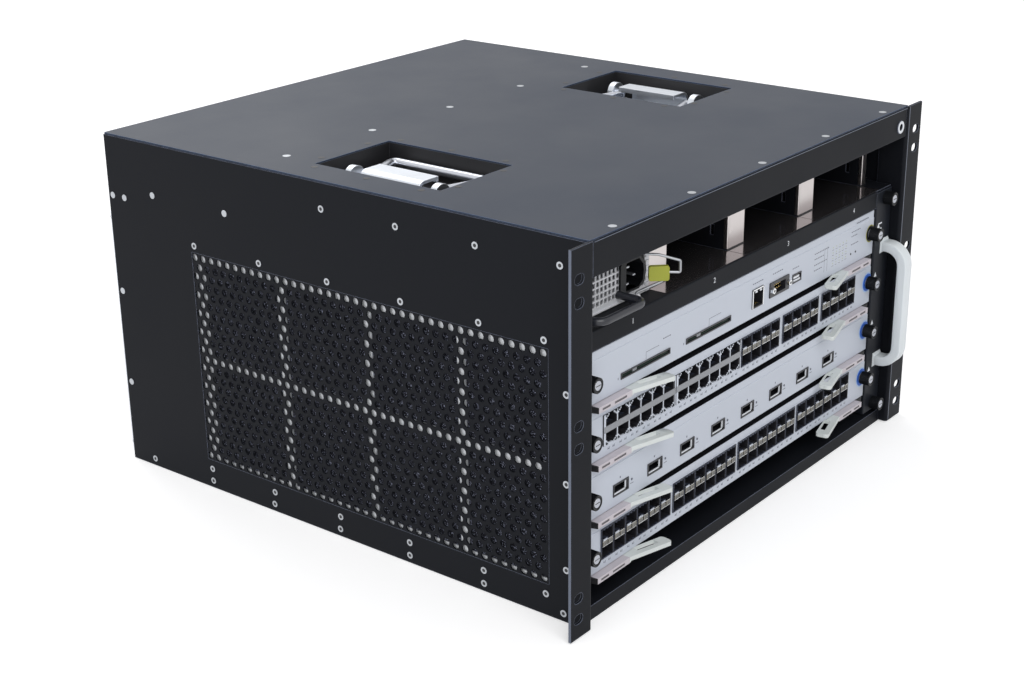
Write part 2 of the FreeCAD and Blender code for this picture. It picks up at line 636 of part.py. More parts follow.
def cage_wall(name, inner, way, tabs, screw_x):
    """A side wall of the card cage, open between its guides, with its foot and screw tabs."""
    t, y0, y1 = S.sheet, S.cage_front, S.cage_end
    low, high = S.lip_top, S.shelf_top - t
    sheet = box(name + "_sheet", (inner - way * t, inner), (y0, y1), (low, high))
    air = [box(f"{name}_air_{index}", (inner - PAST, inner + PAST),
               (y0 + S.air_first, y1 - S.air_first),
               (card_bottom(index) + S.air_rise, card_bottom(index) + S.air_rise + S.air_tall))
           for index in range(CARDS)]
    parts = [cut(name + "_open", sheet, air),
             box(name + "_foot", (inner, inner + way * S.cage_foot), (y0, y1), (low, low + t))]
    parts += tabs
    for index in range(CARDS):
        parts += guides(name, index, inner, way)
    holes = [rod(f"{name}_hole_{index}", "y",
                 (screw_x, y0 - PAST, card_bottom(index) + S.card_tall / 2), S.thread_hole,
                 PAST * 2)
             for index in range(CARDS)]
    node(cut(name + "_cut", fuse(name + "_weld", parts), holes), name)


def cage_walls():
    """The two walls: the left one has a screw flange over its whole height, the right one tabs."""
    left, right = S.cage_left + S.sheet, S.cage_right - S.sheet
    flange = box("cage_flange", (-S.shelf_half, left), (S.cage_front, S.cage_front + S.sheet),
                 (S.lip_top, S.shelf_top - S.sheet))
    cage_wall("cage_wall_left", left, 1, [flange], S.screw_left)
    cage_wall("cage_wall_right", right, -1, [screw_tab(index) for index in range(CARDS)],
              S.screw_right)


def midplane_board():
    """The upright board at the back of the cards with its row of connectors."""
    y, t = S.midplane_y, S.midplane_thick
    parts = [box("midplane_sheet", (S.midplane_left, S.midplane_right), (y, y + t),
                 (S.midplane_low, S.midplane_high))]
    for index in range(CARDS):
        z = card_bottom(index) + S.board_rise
        for side in (-1, 1):
            parts.append(box(f"card_link_{index}_{side + 1}", (side * S.link_inner, side * S.link_outer),
                             (y - S.link_deep, y), (z, z + S.link_tall)))
    for index in range(BAYS):
        x, z = S.bay_first + S.bay_pitch * (index - 1), S.shelf_top + S.supply_link_rise
        parts.append(box(f"supply_link_{index}", (x + S.supply_link_start, x + S.supply_link_end),
                         (y - S.link_deep, y), (z, z + S.link_tall)))
    node(fuse("midplane_whole", parts), "midplane_board")


# ---------------------------------------------------------------- cards

def faceplate(name, index, openings):
    """A card's folded front: plate, stepped upper edge, two flanges and two lever pins."""
    z, y0, t = card_bottom(index), S.card_face, S.card_thick
    top, step, back = S.card_tall, S.card_tall - S.card_step_tall, S.card_face + S.card_flange
    set_back = y0 + S.card_step
    section = [(y0, 0), (back + t, 0), (back + t, t), (y0 + t, t), (y0 + t, step),
               (set_back + t, step), (set_back + t, top - t), (back, top - t), (back, top),
               (set_back, top), (set_back, step), (y0, step)]
    body = folded(name + "_sheet", "YZ_Plane", section, S.card_right - S.card_left,
                  at=(S.card_left, 0, z))
    sketch = new_sketch(body, "XZ_Plane", name="openings")
    for x, low, wide, tall in openings:
        draw_loop(sketch, rectangle((x - S.card_left, x - S.card_left + wide), (low, low + tall)))
    for x in (S.screw_left, S.screw_right):
        draw_circle(sketch, x - S.card_left, S.card_tall / 2, S.shank_bore)
    pocket(body, sketch, y0 + S.card_flange)
    pins = [rod(f"{name}_pin_{i}", "z", (x, S.pivot_y, z - S.lever_drop - S.lever_tall),
                S.pivot_pin, S.lever_drop + S.lever_tall + t)
            for i, x in enumerate((S.card_left + S.pivot_inset, S.card_right - S.pivot_inset))]
    node(fuse(name + "_whole", [body] + pins), name)


def board(name, index, blocks):
    """A card's circuit board with the socket blocks that are soldered to it."""
    z = card_bottom(index) + S.board_rise
    sheet = box(name + "_sheet", (S.board_left, S.board_right), (S.board_front, S.board_end),
                (z, z + S.board_thick))
    top = z + S.board_thick
    chips = [box(f"{name}_chip_{i}", (x, x + S.chip_size), (y, y + S.chip_size),
                 (top, top + S.chip_tall)) for i, (x, y) in enumerate(CHIPS)]
    node(fuse(name + "_whole", [sheet] + chips + blocks), name)


def foot(name, index, x, wide, low, depth):
    """The solid base between a socket block and the board that it is soldered to."""
    z = card_bottom(index)
    return box(name + "_foot", (x, x + wide), (S.board_front, S.block_front + depth),
               (z + S.board_rise + S.board_thick / 2, z + low + S.foot_lap))


def socket_block(name, index, left, group, low, high, depth):
    """A block that fills one opening of a card, on its foot."""
    body = new_body(name, (left, 0, card_bottom(index)))
    base = new_sketch(body, "XZ_Plane", offset=-S.board_front, name="foot")
    draw_loop(base, rectangle((0, group), (S.board_rise + S.board_thick / 2, high)))
    pad(body, base, depth - S.board_front + S.block_front, backwards=True)
    sketch = new_sketch(body, "XZ_Plane", offset=-S.block_front)
    draw_loop(sketch, rectangle((0, group), (low, high)))
    pad(body, sketch, depth, backwards=True)
    return body


def cut_sockets(body, loops, depth, pitch, count):
    """Cuts one column of sockets into a block and repeats it along the block."""
    sketch = new_sketch(body, "XZ_Plane", name="sockets")
    for loop in loops:
        draw_loop(sketch, loop)
    row_of(body, pocket(body, sketch, S.block_front + depth), pitch, count)


def jack_block(name, index, left):
    """Twelve telephone-type sockets in two rows, the latch notches facing apart."""
    body = socket_block(name, index, left, S.jack_group, S.jack_low, S.jack_high, S.jack_block)
    margin = (S.jack_group - S.jack_pitch * 6) / 2 + (S.jack_pitch - S.jack_wide) / 2
    centre = (S.jack_low + S.jack_high) / 2
    notch0 = margin + (S.jack_wide - S.jack_tab_wide) / 2
    notch1 = notch0 + S.jack_tab_wide
    loops = []
    for way in (-1, 1):
        near = centre + way * S.jack_strip / 2
        far = near + way * S.jack_tall
        end = far + way * S.jack_tab_tall
        loops.append([(margin, near), (margin + S.jack_wide, near), (margin + S.jack_wide, far),
                      (notch1, far), (notch1, end), (notch0, end), (notch0, far), (margin, far)])
    cut_sockets(body, loops, S.jack_deep, S.jack_pitch, 6)
    return body


def cage_block(name, index, left, group, pitch, columns):
    """Two rows of pluggable-module cages."""
    body = socket_block(name, index, left, group, S.sfp_low, S.sfp_high, S.sfp_block)
    margin = (group - pitch * columns) / 2 + (pitch - S.sfp_wide) / 2
    centre = (S.sfp_low + S.sfp_high) / 2
    loops = []
    for way in (-1, 1):
        near = centre + way * S.sfp_strip / 2
        loops.append(rectangle((margin, margin + S.sfp_wide), (near, near + way * S.sfp_tall)))
    cut_sockets(body, loops, S.sfp_deep, pitch, columns)
    return body


def sleeve(name, index, x, low, wide, tall, depth):
    """A single socket: a thin rectangular sleeve through the faceplate."""
    z, wall = card_bottom(index) + low, S.xfp_wall
    outer = box(name + "_outer", (x, x + wide), (S.block_front, S.block_front + depth),
                (z, z + tall))
    inner = box(name + "_inner", (x + wall, x + wide - wall),
                (S.block_front - 1, S.block_front + depth - wall), (z + wall, z + tall - wall))
    return cut(name, outer, [inner])


def sleeves(name, index, specs):
    """Sleeves and the faceplate openings that they fill."""
    blocks = [sleeve(f"{name}_{i}", index, *spec) for i, spec in enumerate(specs)]
    blocks += [foot(f"{name}_{i}", index, x, wide, low, depth)
               for i, (x, low, wide, tall, depth) in enumerate(specs)]
    openings = [(x, low, wide, tall) for x, low, wide, tall, depth in specs]
    return blocks, openings


def control_card():
    """Card 1 from the top: two memory slots, a service socket, a serial port and a square one."""
    index = 3
    specs = [
        (S.memory_one, S.memory_low, S.memory_wide, S.memory_tall, S.memory_deep),
        (S.memory_two, S.memory_low, S.memory_wide, S.memory_tall, S.memory_deep),
        (S.service_left, S.service_low, S.service_wide, S.service_tall, S.jack_deep),
        (S.usb_left, S.usb_low, S.usb_wide, S.usb_tall, S.jack_deep)]
    blocks, openings = sleeves("control", index, specs)
    x, z = S.serial_left, card_bottom(index) + S.serial_low
    mouth = (S.serial_wide - S.serial_mouth) / 2
    serial = cut("serial", box("serial_block", (x, x + S.serial_wide), (S.card_face - 1,
                 S.board_front + S.serial_block), (z, z + S.serial_tall)),
                 [box("serial_mouth", (x + mouth, x + mouth + S.serial_mouth),
                      (0, S.board_front + S.serial_deep), (z + S.serial_wall,
                       z + S.serial_tall - S.serial_wall))])
    blocks += [serial, foot("serial", index, x, S.serial_wide, S.serial_low, S.jack_deep)]
    openings.append((S.serial_left, S.serial_low, S.serial_wide, S.serial_tall))
    faceplate("card_1_faceplate", index, openings)
    board("card_1_board", index, blocks)


def copper_card():
    """Card 2 from the top: two groups of jacks and three of module cages."""
    index = 2
    blocks, openings = [], []
    for i in range(2):
        left = S.jack_first + S.jack_group * i
        blocks.append(jack_block(f"jacks_{i}", index, left))
        openings.append((left, S.jack_low, S.jack_group, S.jack_high - S.jack_low))
    openings = [(S.jack_first, S.jack_low, S.jack_group * 2, S.jack_high - S.jack_low)]
    for i in range(3):
        left = S.sfp_first + S.sfp_group * i
        group = S.sfp_pitch * 4
        blocks.append(cage_block(f"cages_{i}", index, left, group, S.sfp_pitch, 4))
        openings.append((left, S.sfp_low, group, S.sfp_high - S.sfp_low))
    faceplate("card_2_faceplate", index, openings)
    board("card_2_board", index, blocks)


def module_card():
    """Card 3 from the top: eight large module cages."""
    index = 1
    specs = [(S.xfp_first + S.xfp_pitch * i, S.xfp_low, S.xfp_wide, S.xfp_tall, S.xfp_deep)
             for i in range(8)]
    blocks, openings = sleeves("module", index, specs)
    faceplate("card_3_faceplate", index, openings)
    board("card_3_board", index, blocks)


def fibre_card():
    """Card 4 from the top: four groups of twelve module cages."""
    index = 0
    blocks, openings = [], []
    for i in range(4):
        left = S.wide_first + S.wide_group * i
        group = S.wide_pitch * 6
        blocks.append(cage_block(f"bank_{i}", index, left, group, S.wide_pitch, 6))
        openings.append((left, S.sfp_low, group, S.sfp_high - S.sfp_low))
    faceplate("card_4_faceplate", index, openings)
    board("card_4_board", index, blocks)


def knob(label, x, y, z, radius, long, shank, shank_long, way=1):
    """A captive thumbscrew: dished knurled head, neck and shank, pointing along way * Y."""
    turn = Rotation(Vector(1, 0, 0), -90 if way > 0 else 90)
    body = new_body(label + "_turned", (x, y, z), turn)
    sketch = new_sketch(body, "XZ_Plane")
    dish, deep, edge = radius * S.dish_share, S.dish_deep, S.knob_edge
    neck = radius * S.neck_share
    outline = [(0, shank_long), (shank, shank_long), (shank, 0), (neck, 0), (neck, -S.neck_long),
               (radius, -S.neck_long), (radius, -long + edge), (radius - edge, -long),
               (dish, -long), (dish, -long + deep), (0, -long + deep)]
    draw_loop(sketch, outline)
    turned = body.newObject("PartDesign::Revolution", label + "_revolution")
    turned.Profile = sketch
    turned.ReferenceAxis = (sketch, ["V_Axis"])
    turned.Angle = 360
    doc.recompute()
    node(body, label)


def lever(label, index, side):
    """An ejector lever: claw and pivot at the card's end, a straight run and a bent arm."""
    x = S.card_left + S.pivot_inset if side > 0 else S.card_right - S.pivot_inset
    z = card_bottom(index) - S.lever_drop - S.lever_tall
    body = new_body(label + "_arm", (x, S.pivot_y, z))
    front, back = -S.lever_front, S.lever_back
    tip_x, tip_y = S.lever_long + S.arm_run, front - S.arm_rise
    outline = [(-S.lever_heel, front), (S.lever_long, front), (tip_x, tip_y),
               (tip_x + S.arm_skew, tip_y + S.arm_deep),
               (S.lever_long + S.arm_lap, front + S.arm_deep - S.arm_skew),
               (S.lever_long, back), (S.claw_root, back), (-S.claw_out + S.claw_thick, S.claw_back),
               (-S.claw_out, S.claw_back), (-S.lever_heel - S.heel_step, back)]
    sketch = new_sketch(body, "XY_Plane")
    draw_loop(sketch, [(size(u) * side, v) for u, v in outline])
    pad(body, sketch, S.lever_tall)
    holes = new_sketch(body, "XY_Plane", name="holes")
    draw_circle(holes, 0, 0, S.pivot_bore)
    pocket(body, holes, S.lever_tall * 2)
    near, far = S.lever_long + S.arm_slot_start, S.lever_long + S.arm_slot_end
    low, high = front - S.arm_slot_drop, front - S.arm_slot_drop - S.arm_slot_rise
    slot = [(near, low), (far, high), (far + S.arm_slot_skew, high + S.arm_slot_wide),
            (near + S.arm_slot_skew, low + S.arm_slot_wide)]
    slot = [(side * u, v) for u, v in slot]
    windows(body, "XY_Plane", [slot], S.lever_tall * 2)
    floor_y, tip = SIZES["front_y"] + S.pivot_y.value, side * tip_x.value + x.value
    soften(body, S.arm_round, lambda edge: abs(edge.Length - SIZES["lever_tall"]) < 0.01
           and abs(middle(edge).x - tip) < 3 and middle(edge).y < floor_y)
    node(body, label)


def card_fittings():
    """The screws and levers at both ends of every card."""
    for index in range(CARDS):
        card = f"card_{CARDS - index}"
        z = card_bottom(index) + S.card_tall / 2
        for name, x in (("left", S.screw_left), ("right", S.screw_right)):
            knob(f"{card}_screw_{name}", x, S.card_face - S.gap, z, S.knob_radius,
                 S.knob_long + S.neck_long, S.shank_radius, S.shank_long)
        lever(f"{card}_lever_left", index, 1)
        lever(f"{card}_lever_right", index, -1)


# ---------------------------------------------------------------- power supply

def psu_case():
    """The supply's case: front plate with the air grid, cut for the inlet, and a sheet body."""
    y0, t, wall = S.supply_face, S.supply_thick, S.supply_wall
    z0, z1 = S.supply_low, S.supply_top
    body = new_body("psu_front", (S.grid_left, y0, S.grid_low))
    sketch = new_sketch(body, "XZ_Plane")
    draw_loop(sketch, rectangle((S.supply_left - S.grid_left, S.supply_right - S.grid_left),
                                (z0 - S.grid_low, z1 - S.grid_low)))
    pad(body, sketch, t, backwards=True)
    cell = new_sketch(body, "XZ_Plane", name="cell")
    draw_loop(cell, rectangle((0, S.grid_hole), (0, S.grid_hole)))
    first = pocket(body, cell, t * 2)
    grid = body.newObject("PartDesign::MultiTransform", "psu_grid")
    grid.Originals = [first]
    rows = body.newObject("PartDesign::LinearPattern", "psu_grid_rows")
    rows.Direction, rows.Occurrences = (cell, ["V_Axis"]), 7
    bind(rows, Length=S.grid_pitch * 6)
    columns = body.newObject("PartDesign::LinearPattern", "psu_grid_columns")
    columns.Direction, columns.Occurrences = (cell, ["H_Axis"]), 12
    bind(columns, Length=S.grid_pitch * 11)
    grid.Transformations = [rows, columns]
    body.Tip = grid
    doc.recompute()
    left, right = S.supply_body_left, S.supply_right
    shell = cut("psu_shell", box("psu_outer", (left, right), (y0 + t, S.supply_end), (z0, z1)),
                [box("psu_inner", (left + wall, right - wall), (y0, S.supply_end - wall),
                     (z0 + wall, z1 - wall))])
    posts = []
    for i, z in enumerate((S.clip_low, S.clip_low + S.clip_tall)):
        post = rod(f"clip_post_{i}", "y", (S.clip_x, S.clip_y - S.clip_post, z), S.clip_post,
                   S.supply_face - S.clip_y + S.clip_post + t)
        posts.append(post)
    tools = [box("inlet_hole", (S.inlet_x - S.inlet_wide / 2, S.inlet_x + S.inlet_wide / 2),
                 (y0 - 1, y0 + t + 1), (S.inlet_z - S.inlet_tall / 2, S.inlet_z + S.inlet_tall / 2)),
             rod("clip_bore", "z", (S.clip_x, S.clip_y, S.clip_low - 5), S.clip_bore, 50)]
    node(cut("psu_case_cut", fuse("psu_case_weld", [body, shell] + posts), tools), "psu_case")


def psu_inlet():
    """The three-pin power inlet, a moulding with a deep well."""
    x, z, y0 = S.inlet_x, S.inlet_z, S.supply_face
    front = y0 - S.inlet_lip
    flange = box("inlet_flange", (x - S.inlet_wide / 2, x + S.inlet_wide / 2),
                 (front, front + S.inlet_body), (z - S.inlet_tall / 2, z + S.inlet_tall / 2))
    well = box("inlet_well_cut", (x - S.inlet_well_wide / 2, x + S.inlet_well_wide / 2),
               (front - 1, front + S.inlet_well),
               (z - S.inlet_well_tall / 2, z + S.inlet_well_tall / 2))
    pins = []
    for i, (dx, dz) in enumerate(((-S.pin_offset, -S.pin_pitch), (-S.pin_offset, S.pin_pitch),
                                  (S.pin_offset, size(0)))):
        pins.append(box(f"inlet_pin_{i}", (x + dx - S.pin_wide / 2, x + dx + S.pin_wide / 2),
                        (front + S.inlet_well - S.pin_long, front + S.inlet_well + 1),
                        (z + dz - S.pin_tall / 2, z + dz + S.pin_tall / 2)))
    moulding = cut("inlet_moulding", flange, [well])
    node(fuse("psu_inlet_whole", [moulding] + pins), "psu_inlet")


def psu_handle():
    """The supply's bent rod handle."""
    corners = [(0, 0), (0, -S.pull_out), (-S.pull_wide, -S.pull_out), (-S.pull_wide, 0)]
    body = swept("psu_handle_rod", corners, S.pull_bend,
                 lambda sketch: draw_circle(sketch, 0, 0, S.pull_radius),
                 (S.pull_x, S.supply_face, S.pull_z))
    node(body, "psu_handle")


def cord_clip():
    """The wire bail that keeps a plug in, and the plastic tab moulded over it."""
    at = (S.clip_x, S.clip_y, S.clip_low)
    path = [(0, -S.clip_tail), (0, S.clip_rise), (S.clip_knee, S.clip_knee_low),
            (S.clip_knee, S.clip_knee_high), (S.clip_reach, S.clip_tip_low),
            (S.clip_reach, S.clip_tip_high), (S.clip_neck, S.clip_neck_high),
            (0, S.clip_fall), (0, S.clip_tall + S.clip_tail)]
    corners = [(u, v + S.clip_tail) for u, v in path]
    wire = swept("cord_clip_rod", corners, S.clip_bend,
                 lambda sketch: draw_circle(sketch, 0, 0, S.clip_wire),
                 (S.clip_x, S.clip_y, S.clip_low - S.clip_tail), plane="XZ_Plane", across="XY_Plane",
                 turn=CLIP_TILT)
    node(wire, "cord_clip_wire")
    body = new_body("clip_tab_block", at, CLIP_TILT)
    sketch = new_sketch(body, "XZ_Plane")
    draw_loop(sketch, rectangle((S.tab_left, S.tab_right), (S.tab_low, S.tab_high)))
    padded = pad(body, sketch, S.tab_thick)
    padded.Midplane = True
    doc.recompute()
    soften(body, S.tab_round, lambda edge: abs(edge.Length - SIZES["tab_thick"]) < 0.01)
    node(cut("cord_clip_tab_cut", body, [wire]), "cord_clip_tab")


# ---------------------------------------------------------------- fan tray

def fan_centre(index):
    return S.fan_first + S.fan_pitch * index


def fan_housing(index):
    """A square fan frame with its round duct, hub, struts and axle."""
    x0, x1 = S.tray_left + S.sheet, S.tray_left + S.sheet + S.fan_deep
    y, z, half = fan_centre(index), S.fan_z, S.fan_size / 2
    frame = cut(f"fan_frame_{index}", box(f"fan_block_{index}", (x0, x1), (y - half, y + half),
                (z - half, z + half)),
                [rod(f"fan_duct_{index}", "x", (x0 - 5, y, z), S.fan_bore, S.fan_deep + 10)])
    parts = [frame, rod(f"fan_hub_{index}", "x", (x1 - S.strut_deep, y, z), S.fan_hub,
                        S.strut_deep),
             rod(f"fan_axle_{index}", "x", (x1 - S.strut_deep - S.axle_long, y, z),
                 S.axle_radius, S.axle_long + 1)]
    reach = S.fan_bore + 1
    parts.append(box(f"fan_strut_a_{index}", (x1 - S.strut_deep, x1), (y - reach, y + reach),
                     (z - S.strut_wide / 2, z + S.strut_wide / 2)))
    parts.append(box(f"fan_strut_b_{index}", (x1 - S.strut_deep, x1),
                     (y - S.strut_wide / 2, y + S.strut_wide / 2), (z - reach, z + reach)))
    return parts


def fan_tray():
    """The tray's folded sheet with its three fan frames riveted on."""
    t, x0 = S.sheet, S.tray_left
    section = [(x0, S.tray_face), (S.tray_right, S.tray_face), (S.tray_right, S.tray_face + t),
               (x0 + t, S.tray_face + t), (x0 + t, S.tray_end), (x0, S.tray_end)]
    body = folded("tray_sheet", "XY_Plane", section, S.tray_top - S.tray_low,
                  at=(0, 0, S.tray_low))
    corner = (x0.value, SIZES["front_y"] + SIZES["tray_face"])
    soften(body, S.sheet, lambda edge: edge.Length > 100
           and math.dist((middle(edge).x, middle(edge).y), corner) < 0.1)
    tools = [rod(f"tray_duct_{index}", "x", (x0 - 5, fan_centre(index), S.fan_z), S.fan_bore, 9)
             for index in range(FANS)]
    for i, z in enumerate((S.tray_screw_low, S.tray_screw_high)):
        tools.append(rod(f"tray_bore_{i}", "y", (S.tray_screw_x, 0, z), S.shank_bore, 15))
    sheet = cut("tray_sheet_cut", body, tools)
    parts = [sheet]
    for index in range(FANS):
        parts += fan_housing(index)
    node(fuse("fan_tray_whole", parts), "fan_tray")
    for name, z in (("low", S.tray_screw_low), ("high", S.tray_screw_high)):
        knob(f"fan_tray_screw_{name}", S.tray_screw_x, S.tray_face - S.gap, z, S.knob_radius,
             S.knob_long, S.shank_radius, S.shank_long)


def fan_handle():
    """The fan tray's flat U-shaped pull."""
    def section(sketch):
        draw_loop(sketch, rectangle((-S.grip_wide / 2, S.grip_wide / 2),
                                    (-S.grip_thick / 2, S.grip_thick / 2)))
    corners = [(0, 0), (-S.grip_out, 0), (-S.grip_out, S.grip_tall), (0, S.grip_tall)]
    body = swept("fan_handle_bar", corners, S.grip_bend, section,
                 (S.grip_x, S.tray_face, S.grip_low), plane="YZ_Plane")
    node(body, "fan_handle")


def fan_rotor(index):
    """A fan wheel: cup and seven pitched blades around a bored hub."""
    label = f"fan_rotor_{index + 1}"
    x0 = S.tray_left + S.sheet + S.rotor_lift
    body = new_body(label + "_wheel", (x0, fan_centre(index), S.fan_z))
    hub = new_sketch(body, "YZ_Plane", name="hub")
    draw_circle(hub, 0, 0, S.rotor_hub)
    pad(body, hub, S.rotor_deep)
    blade = new_sketch(body, "XY_Plane", offset=S.rotor_hub - S.blade_root, name="blade")
    x1, sweep, t = S.rotor_deep - S.blade_inset, S.blade_sweep / 2, S.blade_thick
    draw_loop(blade, [(S.blade_inset, -sweep), (S.blade_inset + t, -sweep), (x1, sweep), (x1 - t, sweep)])
    first = pad(body, blade, S.rotor_radius - S.rotor_hub + S.blade_root)
    wheel = body.newObject("PartDesign::PolarPattern", label + "_blades")
    wheel.Originals = [first]
    wheel.Axis = (hub, ["N_Axis"])
    wheel.Angle, wheel.Occurrences = 360, BLADES
    body.Tip = wheel
    doc.recompute()
    bore = new_sketch(body, "YZ_Plane", name="bore")
    draw_circle(bore, 0, 0, S.axle_bore)
    pocket(body, bore, S.rotor_deep * 2)
    node(body, label)


# ---------------------------------------------------------------- air filter

def filter_cells():
    """The four by two openings that show the foam, as spans along Y and Z."""
    cells = []
    for column in range(5):
        y = S.filter_front + S.filter_edge + (S.filter_cell + S.filter_bar) * column
        for low, high in ((S.filter_low + S.filter_edge, S.filter_mid - S.filter_bar / 2),
                          (S.filter_mid + S.filter_bar / 2, S.filter_top - S.filter_edge)):
            cells.append(((y, y + S.filter_cell), (low, high)))
    return cells


def air_filter():
    """The filter cassette: a bright frame round a foam sheet, with a tail plate at the back."""
    x0, x1 = S.filter_left, S.filter_right
    skin, edge = S.filter_skin, S.filter_edge / 2
    outer = box("filter_block", (x0, x1), (S.filter_front, S.filter_back),
                (S.filter_low, S.filter_top))
    hollow = box("filter_hollow", (x0 + skin, x1 - skin),
                 (S.filter_front + edge, S.body_depth - S.filter_edge),
                 (S.filter_low + edge, S.filter_top - edge))
    cells = [box(f"filter_cell_{i}", (x0 - 1, x1 + 1), y, z)
             for i, (y, z) in enumerate(filter_cells())]
    tail = box("filter_tail", (S.tail_left, S.tail_right),
               (S.filter_back, S.filter_back + S.filter_skin), (S.tail_low, S.tail_high))
    screws = (S.filter_screw_low, S.filter_screw_high)
    holes = [rod(f"tail_hole_{i}", "y", (S.filter_screw_x, S.filter_back - 2, z), S.small_bore, 6)
             for i, z in enumerate(screws)]
    cassette = cut("filter_cassette", outer, [hollow] + cells)
    node(cut("filter_frame_cut", fuse("filter_frame_weld", [cassette, tail]), holes),
         "filter_frame")
    foam = box("filter_foam_sheet", (x0 + skin, x1 - skin),
               (S.filter_front + edge, S.body_depth - S.filter_edge),
               (S.filter_low + edge, S.filter_top - edge))
    node(foam, "filter_foam")
    for name, z in zip(("low", "high"), screws):
        knob(f"filter_screw_{name}", S.filter_screw_x, S.filter_back + S.filter_skin + S.small_gap, z,
             S.small_knob, S.small_knob_long, S.small_shank, S.small_shank_long, way=-1)


# ---------------------------------------------------------------- lifting handles

def handle_well(name, side):
    """A drawn pan under a window of the cover, with a rim for its rivets."""
    x0, x1 = side * S.well_inner, side * S.well_outer
    y0, y1, t, rim = S.well_front, S.well_back, S.sheet, S.well_rim
    body = new_body(name + "_pan", (0, 0, S.well_floor))
    x_low, x_high = span(x0, x1)
    depth = S.cover_low - S.well_floor
    sketch = new_sketch(body, "XY_Plane")
    draw_loop(sketch, rectangle((x_low - t, x_high + t), (y0 - t, y1 + t)))
    pad(body, sketch, depth)
    flange = new_sketch(body, "XY_Plane", offset=depth - t, name="rim")
    draw_loop(flange, rectangle((x_low - rim, x_high + rim), (y0 - rim, y1 + rim)))
    pad(body, flange, t)
    hollow = new_sketch(body, "XY_Plane", offset=depth, name="hollow")
    draw_loop(hollow, rectangle((x_low, x_high), (y0, y1)))
    pocket(body, hollow, depth - t)
    node(body, name)


def handle_bracket(name, side):
    """A zinc plate with a rolled cover between two bearings that hold the bail's ends."""
    x, z, y = side * S.hinge_x, S.hinge_z, S.handle_y
    floor = S.well_floor + S.sheet
    plate = box(name + "_plate", (x + side * S.plate_outer, x - side * S.plate_inner),
                (y - S.plate_half, y + S.plate_half), (floor, floor + S.plate_thick))
    outer, t = S.cover_outer, S.cover_thick
    low = floor - z + 1
    lip, drop = S.cover_lip, S.cover_outer - S.cover_drop
    section = [(-outer, low), (-outer, outer), (lip, outer), (lip, drop), (lip - t, drop),
               (lip - t, outer - t), (t - outer, outer - t), (t - outer, low)]
    roll = folded(name + "_cover", "XZ_Plane", [(size(u) * -side, v) for u, v in section],
                  S.cover_middle * 2, at=(x, y - S.cover_middle, z), backwards=True)
    for offset, bend in ((t, S.cover_bend - t), (0, S.cover_bend)):
        corner = ((x + side * (outer - offset)).value, (z + outer - offset).value)
        soften(roll, bend, lambda edge: edge.Length > 50
               and math.dist((middle(edge).x, middle(edge).z), corner) < 0.1)
    bearings = []
    for way in (-1, 1):
        ends = (y + way * S.bearing_start, y + way * S.bearing_end)
        first, last = span(*ends)
        bearings.append(rod(f"{name}_boss_{way + 1}", "y", (x, first, z), outer, last - first))
        bearings.append(box(f"{name}_foot_{way + 1}", (x - outer, x + outer), ends, (floor + 1, z)))
    bore = rod(name + "_bore", "y", (x, y - S.plate_half, z), S.bail_bore, S.plate_half * 2)
    whole = fuse(name + "_weld", [plate] + bearings)
    node(fuse(name + "_whole", [cut(name + "_bored", whole, [bore]), roll]), name)


def handle_bail(name, side):
    """A steel bail whose ends turn outwards into the bracket's bearings."""
    pin, root, tip = S.bail_pin, S.bail_root, S.bail_tip
    reach = -side * S.bail_reach
    corners = [(0, 0), (0, pin - root), (reach, pin - tip), (reach, pin + tip), (0, pin + root),
               (0, pin * 2)]
    body = swept(name + "_rod", corners, S.bail_bend,
                 lambda sketch: draw_circle(sketch, 0, 0, S.bail_radius),
                 (side * S.hinge_x, S.handle_y - pin, S.hinge_z))
    node(body, name)


# ---------------------------------------------------------------- fasteners

def side_rivet_spots():
    """Where the rivets of a side panel are, along Y and Z."""
    spots = [(459.7, 227.8), (446, 227.8), (412.5, 235.4), (332.6, 235.4), (459, 148.2),
             (459, 69.5), (22.7, 256.8), (92.3, 256.8), (162.2, 256.8), (232.1, 256.8)]
    spots += [(y, 203.1) for y in (35.8, 90.5, 160, 230, 299.3, 369)]
    spots += [(17.6, z) for z in (169.1, 104.6, 40.3)]
    spots += [(y, 16.6) for y in (35, 89.9, 159.3, 228.2, 297.8, 368.2)]
    spots += [(y, 6.2) for y in (20, 89.9, 159.5, 229, 298.9, 368.2, 437.9)]
    return spots


def side_rivets():
    """The flat rivet heads on both side panels."""
    heads = []
    for side in (-1, 1):
        start = -S.body_width / 2 - S.rivet_high if side < 0 else S.body_width / 2
        for i, (y, z) in enumerate(side_rivet_spots()):
            heads.append(rod(f"side_rivet_{side + 1}_{i}", "x", (start, y, z), S.rivet_radius,
                             S.rivet_high))
    node(group("side_rivet_heads", heads), "side_rivets")


def cover_screws():
    """Ten low-headed screws in two rows across the cover."""
    heads = []
    for row, y in enumerate((S.lip_front, S.brace_y)):
        for column in range(5):
            x = S.screw_pitch * (column - 2)
            heads.append(rod(f"cover_screw_{row}_{column}", "z", (x, y, S.cover_low + S.sheet),
                             S.screw_head, S.head_high))
    node(group("cover_screw_heads", heads), "cover_screws")


def well_rivets():
    """The rivets round each handle well."""
    heads = []
    for side in (-1, 1):
        x, y = side * S.well_x, S.handle_y
        spots = [(x + across * S.well_rivet_x, y + along * S.well_rivet_y)
                 for across in (-1, 1) for along in (-1, 0, 1)]
        spots += [(x + across * S.well_rivet_inner, y + along)
                  for across in (-1, 1) for along in (-S.well_rivet_front, S.well_rivet_back)]
        for i, (rivet_x, rivet_y) in enumerate(spots):
            heads.append(rod(f"well_rivet_{side + 1}_{i}", "z",
                             (rivet_x, rivet_y, S.cover_low + S.sheet), S.rivet_radius,
                             S.head_high))
    node(group("well_rivet_heads", heads), "well_rivets")


